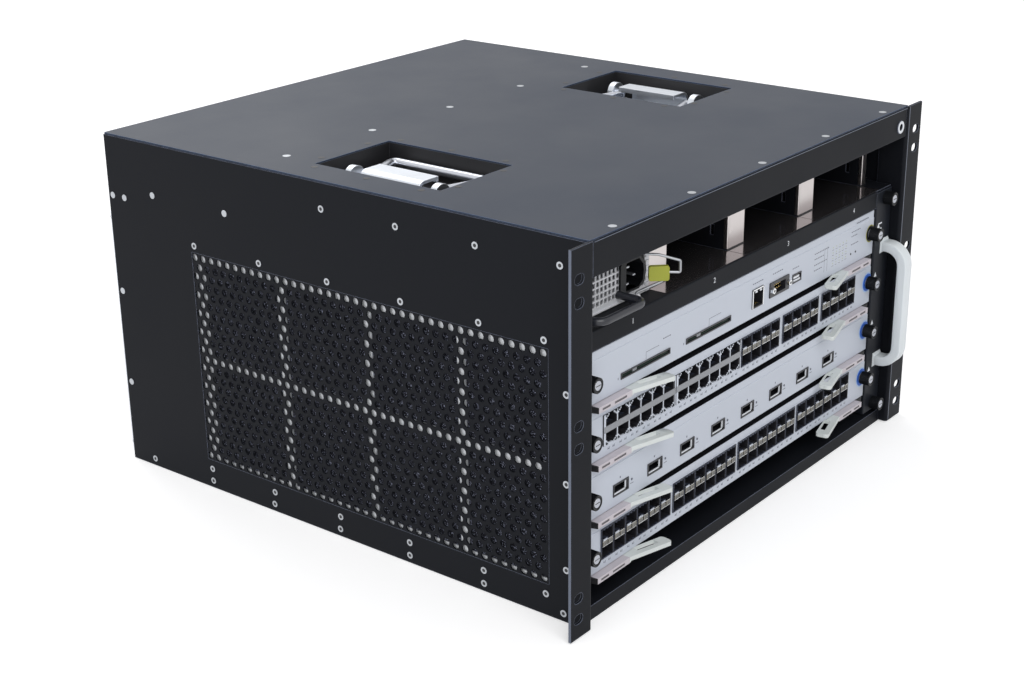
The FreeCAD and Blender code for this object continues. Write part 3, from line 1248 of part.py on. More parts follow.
def main():
    make_sheet()
    base_pan()
    side_panel("side_panel_left", -1, S.vent_back)
    side_panel("side_panel_right", 1, S.exhaust_back)
    top_cover()
    rack_ear("rack_ear_left", -1)
    rack_ear("rack_ear_right", 1)
    front_bezel()
    psu_shelf()
    cage_walls()
    midplane_board()
    control_card()
    copper_card()
    module_card()
    fibre_card()
    card_fittings()
    psu_case()
    psu_inlet()
    psu_handle()
    cord_clip()
    fan_tray()
    fan_handle()
    for index in range(FANS):
        fan_rotor(index)
    air_filter()
    for name, side in (("left", -1), ("right", 1)):
        handle_well(f"handle_well_{name}", side)
        handle_bracket(f"handle_bracket_{name}", side)
        handle_bail(f"handle_bail_{name}", side)
    side_rivets()
    cover_screws()
    well_rivets()
    doc.recompute()
    write_parts()


def write_parts():
    """Checks every object and writes one file for each sub-part."""
    for obj in doc.Objects:
        if "Invalid" in obj.State or "Error" in obj.State:
            raise ValueError(f"{obj.Name} did not build")
    os.makedirs("parts", exist_ok=True)
    for obj in nodes:
        if obj.Shape.isNull() or not obj.Shape.isValid():
            raise ValueError(f"{obj.Label} has no valid shape")
        obj.Shape.exportStep(f"parts/{obj.Label}.step")


main()
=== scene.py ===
"""Looks of the modular chassis switch, laid out as a Blender add-on."""
import math

import bmesh
import bpy
from mathutils import Matrix, Vector


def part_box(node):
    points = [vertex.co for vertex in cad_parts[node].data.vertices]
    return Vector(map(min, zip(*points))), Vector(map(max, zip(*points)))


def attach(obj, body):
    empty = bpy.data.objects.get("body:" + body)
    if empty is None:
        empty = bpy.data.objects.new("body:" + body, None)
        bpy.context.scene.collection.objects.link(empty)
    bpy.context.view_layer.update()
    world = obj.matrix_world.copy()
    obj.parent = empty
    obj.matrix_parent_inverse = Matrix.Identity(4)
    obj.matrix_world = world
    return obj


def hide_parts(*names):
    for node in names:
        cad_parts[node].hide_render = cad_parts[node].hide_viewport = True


bl_info = {
    "name": "Modular chassis switch",
    "version": (1, 0, 0),
    "blender": (4, 5, 0),
    "location": "View3D > Sidebar > Chassis",
    "description": "Details, finishes and stage for a rack-mount chassis switch",
    "category": "Object",
}

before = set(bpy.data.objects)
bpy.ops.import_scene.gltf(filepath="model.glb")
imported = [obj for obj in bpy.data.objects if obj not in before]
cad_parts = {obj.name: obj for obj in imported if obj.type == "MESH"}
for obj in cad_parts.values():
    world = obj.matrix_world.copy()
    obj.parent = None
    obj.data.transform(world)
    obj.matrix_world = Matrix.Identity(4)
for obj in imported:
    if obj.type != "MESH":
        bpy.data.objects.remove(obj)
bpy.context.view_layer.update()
MM = 0.001
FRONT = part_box("top_cover")[0].y
CARDS = (1, 2, 3, 4)
CARD_TALL = 36.8
SCREW_RISE = 18.4
SCREW_RIGHT = 184.6
CARD_PRINT = (8.95, 9.0)
SHEET = 1.2 * MM
HEAD_RIM = 0.35 * MM
EAR_OUTER_EDGE = 241.0 * MM
CAMERA_ROLL = -0.7


def at(x, y, z):
    """A point in metres from millimetres, with Y counted from the cover's front edge."""
    return Vector((x * MM, FRONT + y * MM, z * MM))


def card_low(card):
    """The height in millimetres of a card's lower edge."""
    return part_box(f"card_{card}_faceplate")[1].z / MM - CARD_TALL


# ---------------------------------------------------------------- settings

def colour(name, description, default):
    return bpy.props.FloatVectorProperty(name=name, description=description, subtype="COLOR",
                                         size=3, min=0, max=1, default=default)


def length(name, description, default):
    return bpy.props.FloatProperty(name=name, description=description, default=default,
                                   unit="LENGTH", subtype="DISTANCE", min=0)


class ChassisFinish(bpy.types.PropertyGroup):
    cover: colour("Cover paint", "Satin paint of the top cover", (0.024, 0.033, 0.054))
    shell: colour("Shell paint", "Textured paint of the sides, ears and shelf",
                  (0.008, 0.009, 0.012))
    card: colour("Card paint", "Pale paint of the card fronts", (0.56, 0.60, 0.68))
    tray: colour("Tray paint", "Dark paint of the fan tray", (0.010, 0.012, 0.017))
    pull: colour("Pull paint", "Pale paint of the fan tray's pull", (0.78, 0.83, 0.86))
    zinc: colour("Zinc", "Plated steel", (0.62, 0.65, 0.70))
    bare: colour("Bare steel", "Uncoated steel of the bay plates", (0.60, 0.56, 0.55))
    black: colour("Black plastic", "Moulded black plastic", (0.012, 0.012, 0.014))
    lever_root: colour("Lever root", "Inner half of an ejector lever", (0.58, 0.54, 0.58))
    lever_arm: colour("Lever arm", "Outer half of an ejector lever", (0.70, 0.74, 0.73))
    tab: colour("Clip tab", "Plastic tab of the cord clip", (0.34, 0.36, 0.03))


class ChassisSizes(bpy.types.PropertyGroup):
    hole: length("Air hole", "Radius of a hole in the side's air field", 3.0 * MM)
    knurl: length("Knurl depth", "Depth of the grooves round a thumbscrew", 0.35 * MM)


# ---------------------------------------------------------------- mesh helpers

def finish_piece(name, bm, body, slot, *finishes, smooth=0.0):
    """Turns a bmesh into a piece that rides on a body, with its finishes in index order."""
    bmesh.ops.recalc_face_normals(bm, faces=bm.faces)
    mesh = bpy.data.meshes.new(name)
    bm.to_mesh(mesh)
    bm.free()
    for finish in finishes:
        mesh.materials.append(FINISH[finish])
    piece = bpy.data.objects.new(name, mesh)
    bpy.context.scene.collection.objects.link(piece)
    if smooth:
        mesh.shade_smooth()
        mesh.set_sharp_from_angle(angle=smooth)
    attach(piece, body)
    return piece


def linked(verts, kind):
    """The faces or edges at some vertices, each once. Their order can differ between runs."""
    return list({item for vert in verts for item in getattr(vert, kind)})


def add_block(bm, low, high, round_off=0.0, segments=2, index=0):
    """A block between two corners, with its edges rounded."""
    low, high = Vector(low), Vector(high)
    size = Vector([abs(b - a) for a, b in zip(low, high)])
    matrix = Matrix.Translation((low + high) / 2) @ Matrix.Diagonal((*size, 1))
    made = bmesh.ops.create_cube(bm, size=1, matrix=matrix)
    verts = made["verts"]
    for face in linked(verts, "link_faces"):
        face.material_index = index
    if round_off:
        bmesh.ops.bevel(bm, geom=linked(verts, "link_edges"), offset=round_off,
                        segments=segments, profile=0.5, affect="EDGES", material=-1)
    return verts


def add_disc(bm, centre, direction, radius, depth, segments=24, round_off=0.0, index=0):
    """A short cylinder that starts at a centre and runs along a direction."""
    direction = Vector(direction).normalized()
    turn = Vector((0, 0, 1)).rotation_difference(direction).to_matrix().to_4x4()
    middle = Vector(centre) + direction * depth / 2
    made = bmesh.ops.create_cone(bm, cap_ends=True, segments=segments, radius1=radius,
                                 radius2=radius, depth=depth,
                                 matrix=Matrix.Translation(middle) @ turn)
    for face in linked(made["verts"], "link_faces"):
        face.material_index = index
    if round_off:
        rims = [e for e in linked(made["verts"], "link_edges")
                if abs((e.verts[0].co - e.verts[1].co).normalized().dot(direction)) < 0.5]
        bmesh.ops.bevel(bm, geom=rims, offset=round_off, segments=2, profile=0.5,
                        affect="EDGES", material=-1)
    return made["verts"]


def plate(bm, x, y, z, index=0, round_off=0.0):
    """A block from spans in millimetres."""
    return add_block(bm, at(x[0], y[0], z[0]), at(x[1], y[1], z[1]), round_off, 1, index)


def dot(bm, x, y, z, radius, depth, segments=24, round_off=0.0, index=0):
    """A disc that faces forwards, its place, radius and depth in millimetres."""
    return add_disc(bm, at(x, y, z), (0, -1, 0), radius * MM, depth * MM, segments, round_off,
                    index)


def cut(bm, point, normal, clear=False):
    """Cuts the whole mesh along a plane and clears what lies past it if asked."""
    bmesh.ops.bisect_plane(bm, geom=bm.verts[:] + bm.edges[:] + bm.faces[:], plane_co=point,
                           plane_no=normal, clear_outer=clear)


def verts_of(geom):
    return [item for item in geom if isinstance(item, bmesh.types.BMVert)]


def node_copy(node):
    """The mesh of a CAD node, merged and with its flat faces joined."""
    bm = bmesh.new()
    bm.from_mesh(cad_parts[node].data)
    bmesh.ops.remove_doubles(bm, verts=bm.verts, dist=0.01 * MM)
    bmesh.ops.dissolve_limit(bm, angle_limit=0.01, verts=bm.verts, edges=bm.edges)
    return bm


# ---------------------------------------------------------------- effects and finishes

def new_group(name, inputs, outputs):
    tree = bpy.data.node_groups.new(name, "ShaderNodeTree")
    for label, value in inputs:
        socket = tree.interface.new_socket(label, in_out="INPUT", socket_type="NodeSocketFloat")
        socket.default_value = value
    for label, kind in outputs:
        tree.interface.new_socket(label, in_out="OUTPUT", socket_type=kind)
    return tree, tree.nodes.new("NodeGroupInput"), tree.nodes.new("NodeGroupOutput")


def math_node(tree, operation, first, second=None, clamp=False):
    node = tree.nodes.new("ShaderNodeMath")
    node.operation = operation
    node.use_clamp = clamp
    for socket, value in zip(node.inputs, (first, second)):
        if isinstance(value, bpy.types.NodeSocket):
            tree.links.new(value, socket)
        elif value is not None:
            socket.default_value = value
    return node.outputs[0]


def noise(tree, scale, detail=4.0, roughness=0.55, stretch=None):
    """Noise on object coordinates, in cycles per metre."""
    coords = tree.nodes.new("ShaderNodeTexCoord")
    texture = tree.nodes.new("ShaderNodeTexNoise")
    source = coords.outputs["Object"]
    if stretch:
        mapping = tree.nodes.new("ShaderNodeMapping")
        mapping.inputs["Scale"].default_value = stretch
        tree.links.new(source, mapping.inputs["Vector"])
        source = mapping.outputs["Vector"]
    tree.links.new(source, texture.inputs["Vector"])
    texture.inputs["Detail"].default_value = detail
    texture.inputs["Roughness"].default_value = roughness
    if isinstance(scale, bpy.types.NodeSocket):
        tree.links.new(scale, texture.inputs["Scale"])
    else:
        texture.inputs["Scale"].default_value = scale
    return texture.outputs["Fac"]


def grain_group():
    """Fine paint texture: a height for bump and a slow tone for colour."""
    tree, given, put = new_group("paint_grain", [("Scale", 900.0), ("Cloud", 9.0)],
                                 [("Height", "NodeSocketFloat"), ("Tone", "NodeSocketFloat")])
    tree.links.new(noise(tree, given.outputs["Scale"], detail=3), put.inputs["Height"])
    tree.links.new(noise(tree, given.outputs["Cloud"], detail=5), put.inputs["Tone"])
    return tree


def edge_group():
    """Rounded-edge normal and a mask that is one along the edges, broken up by noise: it marks
    edge wear and painted highlights on the bends.
    """
    tree, given, put = new_group("edge_wear", [("Radius", 0.0005)],
                                 [("Mask", "NodeSocketFloat"), ("Normal", "NodeSocketVector")])
    bevel = tree.nodes.new("ShaderNodeBevel")
    bevel.samples = 6
    tree.links.new(given.outputs["Radius"], bevel.inputs["Radius"])
    true = tree.nodes.new("ShaderNodeNewGeometry")
    dot = tree.nodes.new("ShaderNodeVectorMath")
    dot.operation = "DOT_PRODUCT"
    tree.links.new(bevel.outputs["Normal"], dot.inputs[0])
    tree.links.new(true.outputs["Normal"], dot.inputs[1])
    gap = math_node(tree, "SUBTRACT", 1.0, dot.outputs["Value"])
    # The mask stands for edge wear and for painted highlights on the bends.
    wear_and_highlight = math_node(tree, "MULTIPLY", gap, noise(tree, 160.0))
    tree.links.new(math_node(tree, "MULTIPLY", wear_and_highlight, 9.0, clamp=True), put.inputs["Mask"])
    tree.links.new(bevel.outputs["Normal"], put.inputs["Normal"])
    return tree


def streak_group():
    """Brushing: fine streaks along X or Y for bare and plated metal."""
    tree, given, put = new_group("brush_streaks", [("Scale", 60.0)],
                                 [("Height", "NodeSocketFloat"), ("Tone", "NodeSocketFloat")])
    tree.links.new(noise(tree, given.outputs["Scale"], detail=6, stretch=(1, 14, 30)),
                   put.inputs["Height"])
    tree.links.new(noise(tree, 14.0, detail=5), put.inputs["Tone"])
    return tree


EFFECTS = {"grain": grain_group(), "edge": edge_group(), "streak": streak_group()}


def effect(tree, name, **values):
    node = tree.nodes.new("ShaderNodeGroup")
    node.node_tree = EFFECTS[name]
    for label, value in values.items():
        node.inputs[label].default_value = value
    return node


def blend(tree, factor, low, high):
    """A colour between a colour or socket and another colour, by a factor."""
    mix = tree.nodes.new("ShaderNodeMix")
    mix.data_type = "RGBA"
    tree.links.new(factor, mix.inputs["Factor"])
    if isinstance(low, bpy.types.NodeSocket):
        tree.links.new(low, mix.inputs["A"])
    else:
        mix.inputs["A"].default_value = (*low, 1)
    mix.inputs["B"].default_value = (*high, 1)
    return mix.outputs["Result"]


def scaled(rgb, factor):
    return tuple(min(1.0, channel * factor) for channel in rgb)


def surface(name, rgb, rough, metal=0.0, spread=0.12, grain="grain", scale=900.0, bump=0.12,
            depth=0.00008, edge=0.0005, edge_tone=2.2, rough_spread=0.1, coat=0.0, spec=0.5,
            speck=None):
    """A finish whose colour, roughness and relief all vary over the surface."""
    material = bpy.data.materials.new(name)
    material.use_nodes = True
    tree = material.node_tree
    shader = tree.nodes["Principled BSDF"]
    shader.inputs["Metallic"].default_value = metal
    shader.inputs["Coat Weight"].default_value = coat
    shader.inputs["Specular IOR Level"].default_value = spec
    texture = effect(tree, grain, Scale=scale)
    base = blend(tree, texture.outputs["Tone"], scaled(rgb, 1 - spread), scaled(rgb, 1 + spread))
    # Where the fine noise is high a second colour is mixed in; on the foam these pale blue specks
    # are painted glints of light on its strands.
    if speck:
        lit = math_node(tree, "SUBTRACT", texture.outputs["Height"], 0.56)
        base = blend(tree, math_node(tree, "MULTIPLY", lit, 14.0, clamp=True), base, speck)
    relief = tree.nodes.new("ShaderNodeBump")
    relief.inputs["Strength"].default_value = bump
    relief.inputs["Distance"].default_value = depth
    tree.links.new(texture.outputs["Height"], relief.inputs["Height"])
    # Along the edges the colour is lifted by edge_tone: partly wear, partly a painted highlight on
    # the bends.
    if edge:
        wear_and_highlight = effect(tree, "edge", Radius=edge)
        base = blend(tree, wear_and_highlight.outputs["Mask"], base, scaled(rgb, edge_tone))
        tree.links.new(wear_and_highlight.outputs["Normal"], relief.inputs["Normal"])
    tree.links.new(base, shader.inputs["Base Color"])
    tree.links.new(relief.outputs["Normal"], shader.inputs["Normal"])
    swing = math_node(tree, "MULTIPLY", texture.outputs["Tone"], rough_spread * 2)
    tree.links.new(math_node(tree, "ADD", swing, rough - rough_spread), shader.inputs["Roughness"])
    return material


def metal(name, rgb, rough, **values):
    """A brushed metal without the edge mask of wear and painted highlight."""
    return surface(name, rgb, rough, metal=1.0, grain="streak", edge=0.0, **values)


def plain(name, rgb, rough, **values):
    """A finish without the edge mask of wear and painted highlight."""
    return surface(name, rgb, rough, edge=0.0, **values)


FINISH = {}


def make_finishes(settings):
    """Every finish of the object."""
    given = {name: tuple(getattr(settings, name)) for name in settings.__annotations__}
    FINISH.update({
        "cover": surface("cover_paint", given["cover"], 0.42, scale=1400.0, bump=0.2, edge=0.0008,
                         edge_tone=6.0, spec=0.14),
        # On the dark paints a high edge_tone is chiefly a painted highlight along the bends, with
        # some wear.
        "shell": surface("shell_paint", given["shell"], 0.5, scale=1100.0, bump=0.22, edge=0.0008,
                         edge_tone=26.0, spec=0.08),
        "field": plain("field_paint", given["shell"], 0.5, scale=1100.0, bump=0.22, spec=0.08),
        "card": surface("card_paint", given["card"], 0.42, scale=1500.0, bump=0.08, spread=0.05,
                        edge_tone=1.3),
        "tray": surface("tray_paint", given["tray"], 0.45, bump=0.15, edge_tone=12.0, spec=0.2),
        "pull": surface("pull_paint", given["pull"], 0.38, bump=0.08, edge_tone=1.15),
        "zinc": surface("plated_zinc", given["zinc"], 0.34, metal=1.0, grain="streak", scale=60.0,
                        spread=0.18, edge_tone=1.3),
        "bare": surface("bare_steel", given["bare"], 0.3, metal=1.0, grain="streak", scale=80.0,
                        spread=0.15, edge_tone=1.4),
        "bail": metal("bail_steel", (0.55, 0.57, 0.62), 0.28, scale=90.0, spread=0.2),
        "black": surface("black_plastic", given["black"], 0.5, scale=1200.0, bump=0.2,
                         edge_tone=3.0, spread=0.25),
        "pull_black": plain("supply_pull_paint", (0.022, 0.024, 0.032), 0.3, scale=900.0,
                            bump=0.08),
        "port": surface("port_plastic", (0.018, 0.018, 0.022), 0.38, scale=900.0, bump=0.1,
                        edge=0.0002, edge_tone=5.0),
        "spring": metal("spring_metal", (0.78, 0.79, 0.80), 0.22, scale=200.0),
        "gold": metal("contact_gold", (0.80, 0.58, 0.22), 0.25, scale=200.0),
        "lever_root": surface("lever_root_plastic", given["lever_root"], 0.45, bump=0.15,
                              edge_tone=1.4),
        "lever_arm": surface("lever_arm_plastic", given["lever_arm"], 0.42, bump=0.15,
                             edge_tone=1.25),
        "tab": surface("tab_plastic", given["tab"], 0.35, bump=0.1, edge_tone=1.5),
        # The foam's pale blue specks are painted glints.
        "foam": plain("filter_foam", (0.010, 0.011, 0.020), 0.9, scale=1100.0, bump=1.0,
                      depth=0.0008, spread=0.5, speck=(0.50, 0.54, 0.72)),
        # Painted highlight: the filter's plated bars take a near-white colour for the flash on
        # them.
        "bars": plain("filter_bars", (0.88, 0.91, 0.95), 0.45, metal=0.0, scale=300.0,
                      spread=0.05),
        "knob": plain("knob_plastic", (0.007, 0.008, 0.010), 0.45, scale=900.0, bump=0.1,
                      spec=0.3),
        "wire": metal("clip_wire_steel", (0.34, 0.35, 0.37), 0.35, scale=90.0),
        "fastener": surface("fastener_steel", (0.46, 0.48, 0.51), 0.42, metal=0.9, grain="streak",
                            scale=120.0, edge=0.0),
        # Painted highlight for the bends and edges of the dark sheets.
        "edge_paint": plain("edge_paint", (0.12, 0.14, 0.19), 0.35, spec=0.4),
        "halo": plain("pale_blue_print", (0.40, 0.55, 0.78), 0.5),
        "laminate": plain("board_laminate", (0.012, 0.035, 0.022), 0.5, scale=400.0, bump=0.1),
        "well": surface("well_black", (0.012, 0.012, 0.014), 0.5, scale=900.0, bump=0.2,
                        edge_tone=4.0),
        "print": plain("white_print", (0.80, 0.83, 0.88), 0.5, spread=0.06),
        "olive": plain("olive_print", (0.35, 0.34, 0.08), 0.5),
        "blue": plain("blue_print", (0.03, 0.13, 0.55), 0.5),
        "lens": plain("indicator_lens", (0.55, 0.60, 0.42), 0.2, bump=0.02, coat=0.5),
        "button": surface("button_metal", (0.50, 0.52, 0.58), 0.5, metal=0.3, grain="streak",
                          scale=80.0, edge=0.0003),
        "face": surface("shield_face", (0.58, 0.62, 0.70), 0.4, metal=0.3, grain="streak",
                        scale=90.0, spread=0.1, edge=0.0),
        "strip": surface("shield_strip", (0.26, 0.27, 0.29), 0.4, metal=0.6, grain="streak",
                         scale=90.0, edge=0.0),
        "grid": surface("grid_metal", (0.78, 0.79, 0.83), 0.4, metal=0.1, grain="streak",
                        scale=90.0, edge=0.0003, edge_tone=1.4),
        "mark": plain("dark_print", (0.10, 0.11, 0.15), 0.5),
        "column": surface("shield_column", (0.055, 0.065, 0.10), 0.4, metal=0.4, grain="streak",
                          scale=90.0, edge=0.0),
        # Painted shade: a near-black strip that darkens the gaps between the cards.
        "gasket": plain("conductive_gasket", (0.006, 0.006, 0.008), 0.8, scale=1600.0, bump=0.4,
                        spec=0.1),
        "floor": surface("shelf_floor_steel", (0.50, 0.46, 0.47), 0.14, metal=0.95, grain="streak",
                         scale=50.0, bump=0.05, edge=0.0, rough_spread=0.04),
        # Painted shade in the lever's recesses.
        "recess": plain("lever_recess", (0.17, 0.16, 0.17), 0.5),
        "amber": surface("beige_tab", (0.22, 0.21, 0.18), 0.4, edge=0.0002, spread=0.3),
    })


NODE_FINISH = {
    "shell": ("base_pan", "side_panel_left", "side_panel_right", "rack_ear_left",
              "rack_ear_right", "front_bezel", "psu_shelf", "cage_wall_left", "cage_wall_right"),
    "cover": ("top_cover",),
    "tray": ("fan_tray",),
    "pull": ("fan_handle",),
    "well": ("handle_well_left", "handle_well_right", "well_rivets"),
    "zinc": ("handle_bracket_left", "handle_bracket_right"),
    "fastener": ("side_rivets", "cover_screws"),
    "wire": ("cord_clip_wire",),
    "grid": ("psu_case", "filter_frame"),
    "bail": ("handle_bail_left", "handle_bail_right"),
    "foam": ("filter_foam",),
    "laminate": ("midplane_board",),
    "card": tuple(f"card_{card}_faceplate" for card in CARDS),
    "port": tuple(f"card_{card}_board" for card in CARDS),
    "black": ("psu_inlet", "psu_handle", "fan_rotor_1", "fan_rotor_2", "fan_rotor_3",
              "filter_screw_low", "filter_screw_high", "fan_tray_screw_low",
              "fan_tray_screw_high") + tuple(f"card_{card}_screw_{side}" for card in CARDS
                                             for side in ("left", "right")),
    "lever_arm": tuple(f"card_{card}_lever_{side}" for card in CARDS
                       for side in ("left", "right")),
    "tab": ("cord_clip_tab",),
}


class CHASSIS_OT_finishes(bpy.types.Operator):
    """Makes the finishes and puts them on the chassis's own sheets and mouldings"""
    bl_idname = "chassis.finishes"
    bl_label = "Finishes"

    def execute(self, context):
        make_finishes(context.scene.chassis_finish)
        for finish, names in NODE_FINISH.items():
            for name in names:
                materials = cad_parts[name].data.materials
                materials.clear()
                materials.append(FINISH[finish])
        return {"FINISHED"}


# ---------------------------------------------------------------- side air fields

def air_cell(bm, low_y, low_z, wide, tall, radius):
    """One cell of a perforated sheet: a round hole in a rectangle that meets its neighbours."""
    matrix = (Matrix.Translation((0, low_y + wide / 2, low_z + tall / 2))
              @ Matrix.Rotation(math.pi / 2, 4, "Y") @ Matrix.Rotation(math.pi / 2, 4, "Z"))
    grid = bmesh.ops.create_grid(bm, x_segments=4, y_segments=2, size=0.5,
                                 matrix=matrix @ Matrix.Diagonal((wide, tall, 1, 1)))
    inner = [vert for vert in grid["verts"] if not vert.is_boundary]
    outer = [vert for vert in grid["verts"] if vert.is_boundary]
    bmesh.ops.delete(bm, geom=linked(grid["verts"], "link_faces"), context="FACES_ONLY")
    bmesh.ops.delete(bm, geom=inner, context="VERTS")
    ring = bmesh.ops.create_circle(bm, segments=12, radius=radius, matrix=matrix)["verts"]
    bmesh.ops.bridge_loops(bm, edges=linked(outer + ring, "link_edges"))


def air_field(name, x_outer, way, y_low, y_high, z_low, z_high, columns, rows, radius, end):
    """A perforated sheet that fills the window of a side panel, trimmed at its back end."""
    pitch, tall = (y_high - y_low) / (columns + 0.5), (z_high - z_low) / rows
    bm = bmesh.new()
    air_cell(bm, 0, 0, pitch, tall, radius)
    unit = list(bm.verts) + list(bm.edges) + list(bm.faces)
    for column in range(1, columns):
        made = bmesh.ops.duplicate(bm, geom=unit)["geom"]
        bmesh.ops.translate(bm, vec=(0, pitch * column, 0), verts=verts_of(made))
    strip = list(bm.verts) + list(bm.edges) + list(bm.faces)
    for row in range(1, rows):
        made = bmesh.ops.duplicate(bm, geom=strip)["geom"]
        bmesh.ops.translate(bm, vec=(0, (row % 2) * pitch / 2, row * tall),
                            verts=verts_of(made))
    for row in range(rows):
        start = columns * pitch if row % 2 == 0 else 0
        centre = Matrix.Translation((0, start + pitch / 4, (row + 0.5) * tall))
        turn = Matrix.Rotation(math.pi / 2, 4, "Y") @ Matrix.Rotation(math.pi / 2, 4, "Z")
        bmesh.ops.create_grid(bm, x_segments=2, y_segments=2, size=0.5,
                              matrix=centre @ turn @ Matrix.Diagonal((pitch / 2, tall, 1, 1)))
    bmesh.ops.remove_doubles(bm, verts=bm.verts, dist=0.00005)
    bmesh.ops.translate(bm, vec=(x_outer, y_low, z_low), verts=bm.verts)
    cut(bm, (0, end, 0), (0, 1, 0), clear=True)
    for face in bm.faces:
        face.normal_update()
        if face.normal.x * way < 0:
            face.normal_flip()
    geom = bmesh.ops.extrude_face_region(bm, geom=list(bm.faces), use_keep_orig=True)["geom"]
    bmesh.ops.translate(bm, vec=(-way * SHEET, 0, 0), verts=verts_of(geom))
    return finish_piece(name, bm, "chassis", "chassis_paint", "field")


class CHASSIS_OT_air_fields(bpy.types.Operator):
    """Fills the side windows with perforated sheet"""
    bl_idname = "chassis.air_fields"
    bl_label = "Air fields"

    def execute(self, context):
        hole = context.scene.chassis_sizes.hole
        edge = abs(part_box("side_panel_left")[0].x)
        low, high = at(0, 32.5, 24.5), at(0, 372.5, 197.5)
        sheet_end = at(0, 378.4, 0).y
        air_field("air_field_left", -edge, -1, low.y, sheet_end, low.z, high.z, 39, 23, hole,
                  high.y)
        far = at(0, 392.5, 197.5)
        air_field("air_field_right", edge, 1, low.y, far.y, low.z, far.z, 41, 23, hole, far.y)
        return {"FINISHED"}


class CHASSIS_OT_filter_grid(bpy.types.Operator):
    """Makes the filter's frame: two skins of bright bars, their rim and the tail plate"""
    bl_idname = "chassis.filter_grid"
    bl_label = "Filter grid"

    def execute(self, context):
        bm = bmesh.new()
        whole_y = (29.0, 464.8)
        bars = ((29.0, 35.0), (105.5, 112.5), (191.5, 198.5), (277.0, 285.0), (362.0, 373.0),
                (448.0, 464.8))
        rails = ((20.6, 26.6), (107.5, 114.5), (190.5, 196.5))
        for skin_x in ((-217.1, -216.1), (-208.3, -207.3)):
            for rail in rails:
                plate(bm, skin_x, whole_y, rail)
            for bar in bars:
                for gap in zip(rails, rails[1:]):
                    plate(bm, skin_x, bar, (gap[0][1], gap[1][0]))
        for rim in ((20.6, 21.6), (195.5, 196.5)):
            plate(bm, (-216.1, -208.3), whole_y, rim)
        for end in ((29.0, 30.0), (463.8, 464.8)):
            plate(bm, (-216.1, -208.3), end, (21.6, 195.5))
        plate(bm, (-219.6, -204.6), (464.8, 465.8), (6.0, 213.0), 1, 0.2 * MM)
        # The bars' near-white finish is a painted highlight; the tail plate keeps the plated zinc.
        piece = finish_piece("filter_grid", bm, "air_filter", "zinc", "bars", "zinc")
        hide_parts("filter_frame")
        return {"FINISHED"}


# ---------------------------------------------------------------- card fronts

def screw_seats():
    """Node name and centre of each large thumbscrew's head face."""
    seats = []
    for card in CARDS:
        height = card_low(card) + SCREW_RISE
        for side, x in (("left", -210.0), ("right", SCREW_RIGHT)):
            name = f"card_{card}_screw_{side}"
            seats.append((name, at(x, -0.7, height)))
    for name in ("fan_tray_screw_low", "fan_tray_screw_high"):
        low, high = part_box(name)
        seats.append((name, Vector(((low.x + high.x) / 2, low.y, (low.z + high.z) / 2))))
    return seats


def knurled_head(bm, centre, way, radius, long, knurl, segments=44):
    """A knurled barrel with a raised metal button, its axis along Y."""
    axis = Vector((0, way, 0))
    turn = Matrix.Rotation(math.pi / 2, 4, "X")
    middle = centre + axis * long / 2
    made = bmesh.ops.create_cone(bm, cap_ends=True, segments=segments, radius1=radius,
                                 radius2=radius, depth=long,
                                 matrix=Matrix.Translation(middle) @ turn)
    faces = linked(made["verts"], "link_faces")
    sides = [face for face in faces if len(face.verts) == 4]
    front = min((face for face in faces if len(face.verts) > 4),
                key=lambda face: way * face.calc_center_median().y)
    bmesh.ops.inset_individual(bm, faces=sides, thickness=0.12 * MM, depth=-knurl)
    rim = bmesh.ops.inset_region(bm, faces=[front], thickness=0.7 * MM, depth=HEAD_RIM)
    bmesh.ops.inset_region(bm, faces=[front], thickness=1.1 * MM, depth=-0.7 * MM)
    for face in rim["faces"]:
        face.smooth = False
    button = radius * 0.6
    add_disc(bm, centre + axis * 0.7 * MM, -axis, button, 0.75 * MM, 28, 0.18 * MM, index=1)
    # The slot is a thin dark bar on the button: painted shade in the slot.
    slot = centre - axis * 0.06 * MM
    add_block(bm, slot + Vector((-button * 0.8, -way * 0.03 * MM, -0.35 * MM)),
              slot + Vector((button * 0.8, way * 0.05 * MM, 0.35 * MM)), index=2)


class CHASSIS_OT_thumbscrews(bpy.types.Operator):
    """Makes the knurled thumbscrews with their metal buttons"""
    bl_idname = "chassis.thumbscrews"
    bl_label = "Thumbscrews"

    def hand_over(self, bm, name):
        """Puts the finished screw in the place of its node."""
        piece = finish_piece(name + "_knurled", bm, name, "black_plastic", "knob", "button",
                             "well")
        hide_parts(name)

    def execute(self, context):
        knurl = context.scene.chassis_sizes.knurl
        for name, centre in screw_seats():
            bm = bmesh.new()
            knurled_head(bm, centre, 1, 5.5 * MM, 8.3 * MM, knurl)
            for start, radius, long in ((8.3, 4.2, 1.0), (9.3, 2.0, 17.6)):
                add_disc(bm, centre + Vector((0, start * MM, 0)), (0, 1, 0), radius * MM,
                         long * MM, index=1)
            self.hand_over(bm, name)
        for name in ("filter_screw_low", "filter_screw_high"):
            low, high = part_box(name)
            centre = Vector(((low.x + high.x) / 2, high.y - HEAD_RIM, (low.z + high.z) / 2))
            bm = bmesh.new()
            long = 4.4 * MM - HEAD_RIM
            knurled_head(bm, centre, -1, 4.2 * MM, long, knurl * 0.8, 36)
            add_disc(bm, centre - Vector((0, long, 0)), (0, -1, 0), 1.5 * MM, 3.6 * MM,
                     index=1)
            self.hand_over(bm, name)
        return {"FINISHED"}


JACKS = [(-191.0 + 88.0 * bank + 3.125 + 13.97 * column) for bank in range(2)
         for column in range(6)]
SMALL_CAGES = [(-14.4 + 60.6 * bank + 0.65 + 13.9 * column) for bank in range(3)
               for column in range(4)]
WIDE_CAGES = [(-192.4 + 89.2 * bank + 0.875 + 14.35 * column) for bank in range(4)
              for column in range(6)]
LARGE_CAGES = [-178.3 + 41.8 * column for column in range(8)]


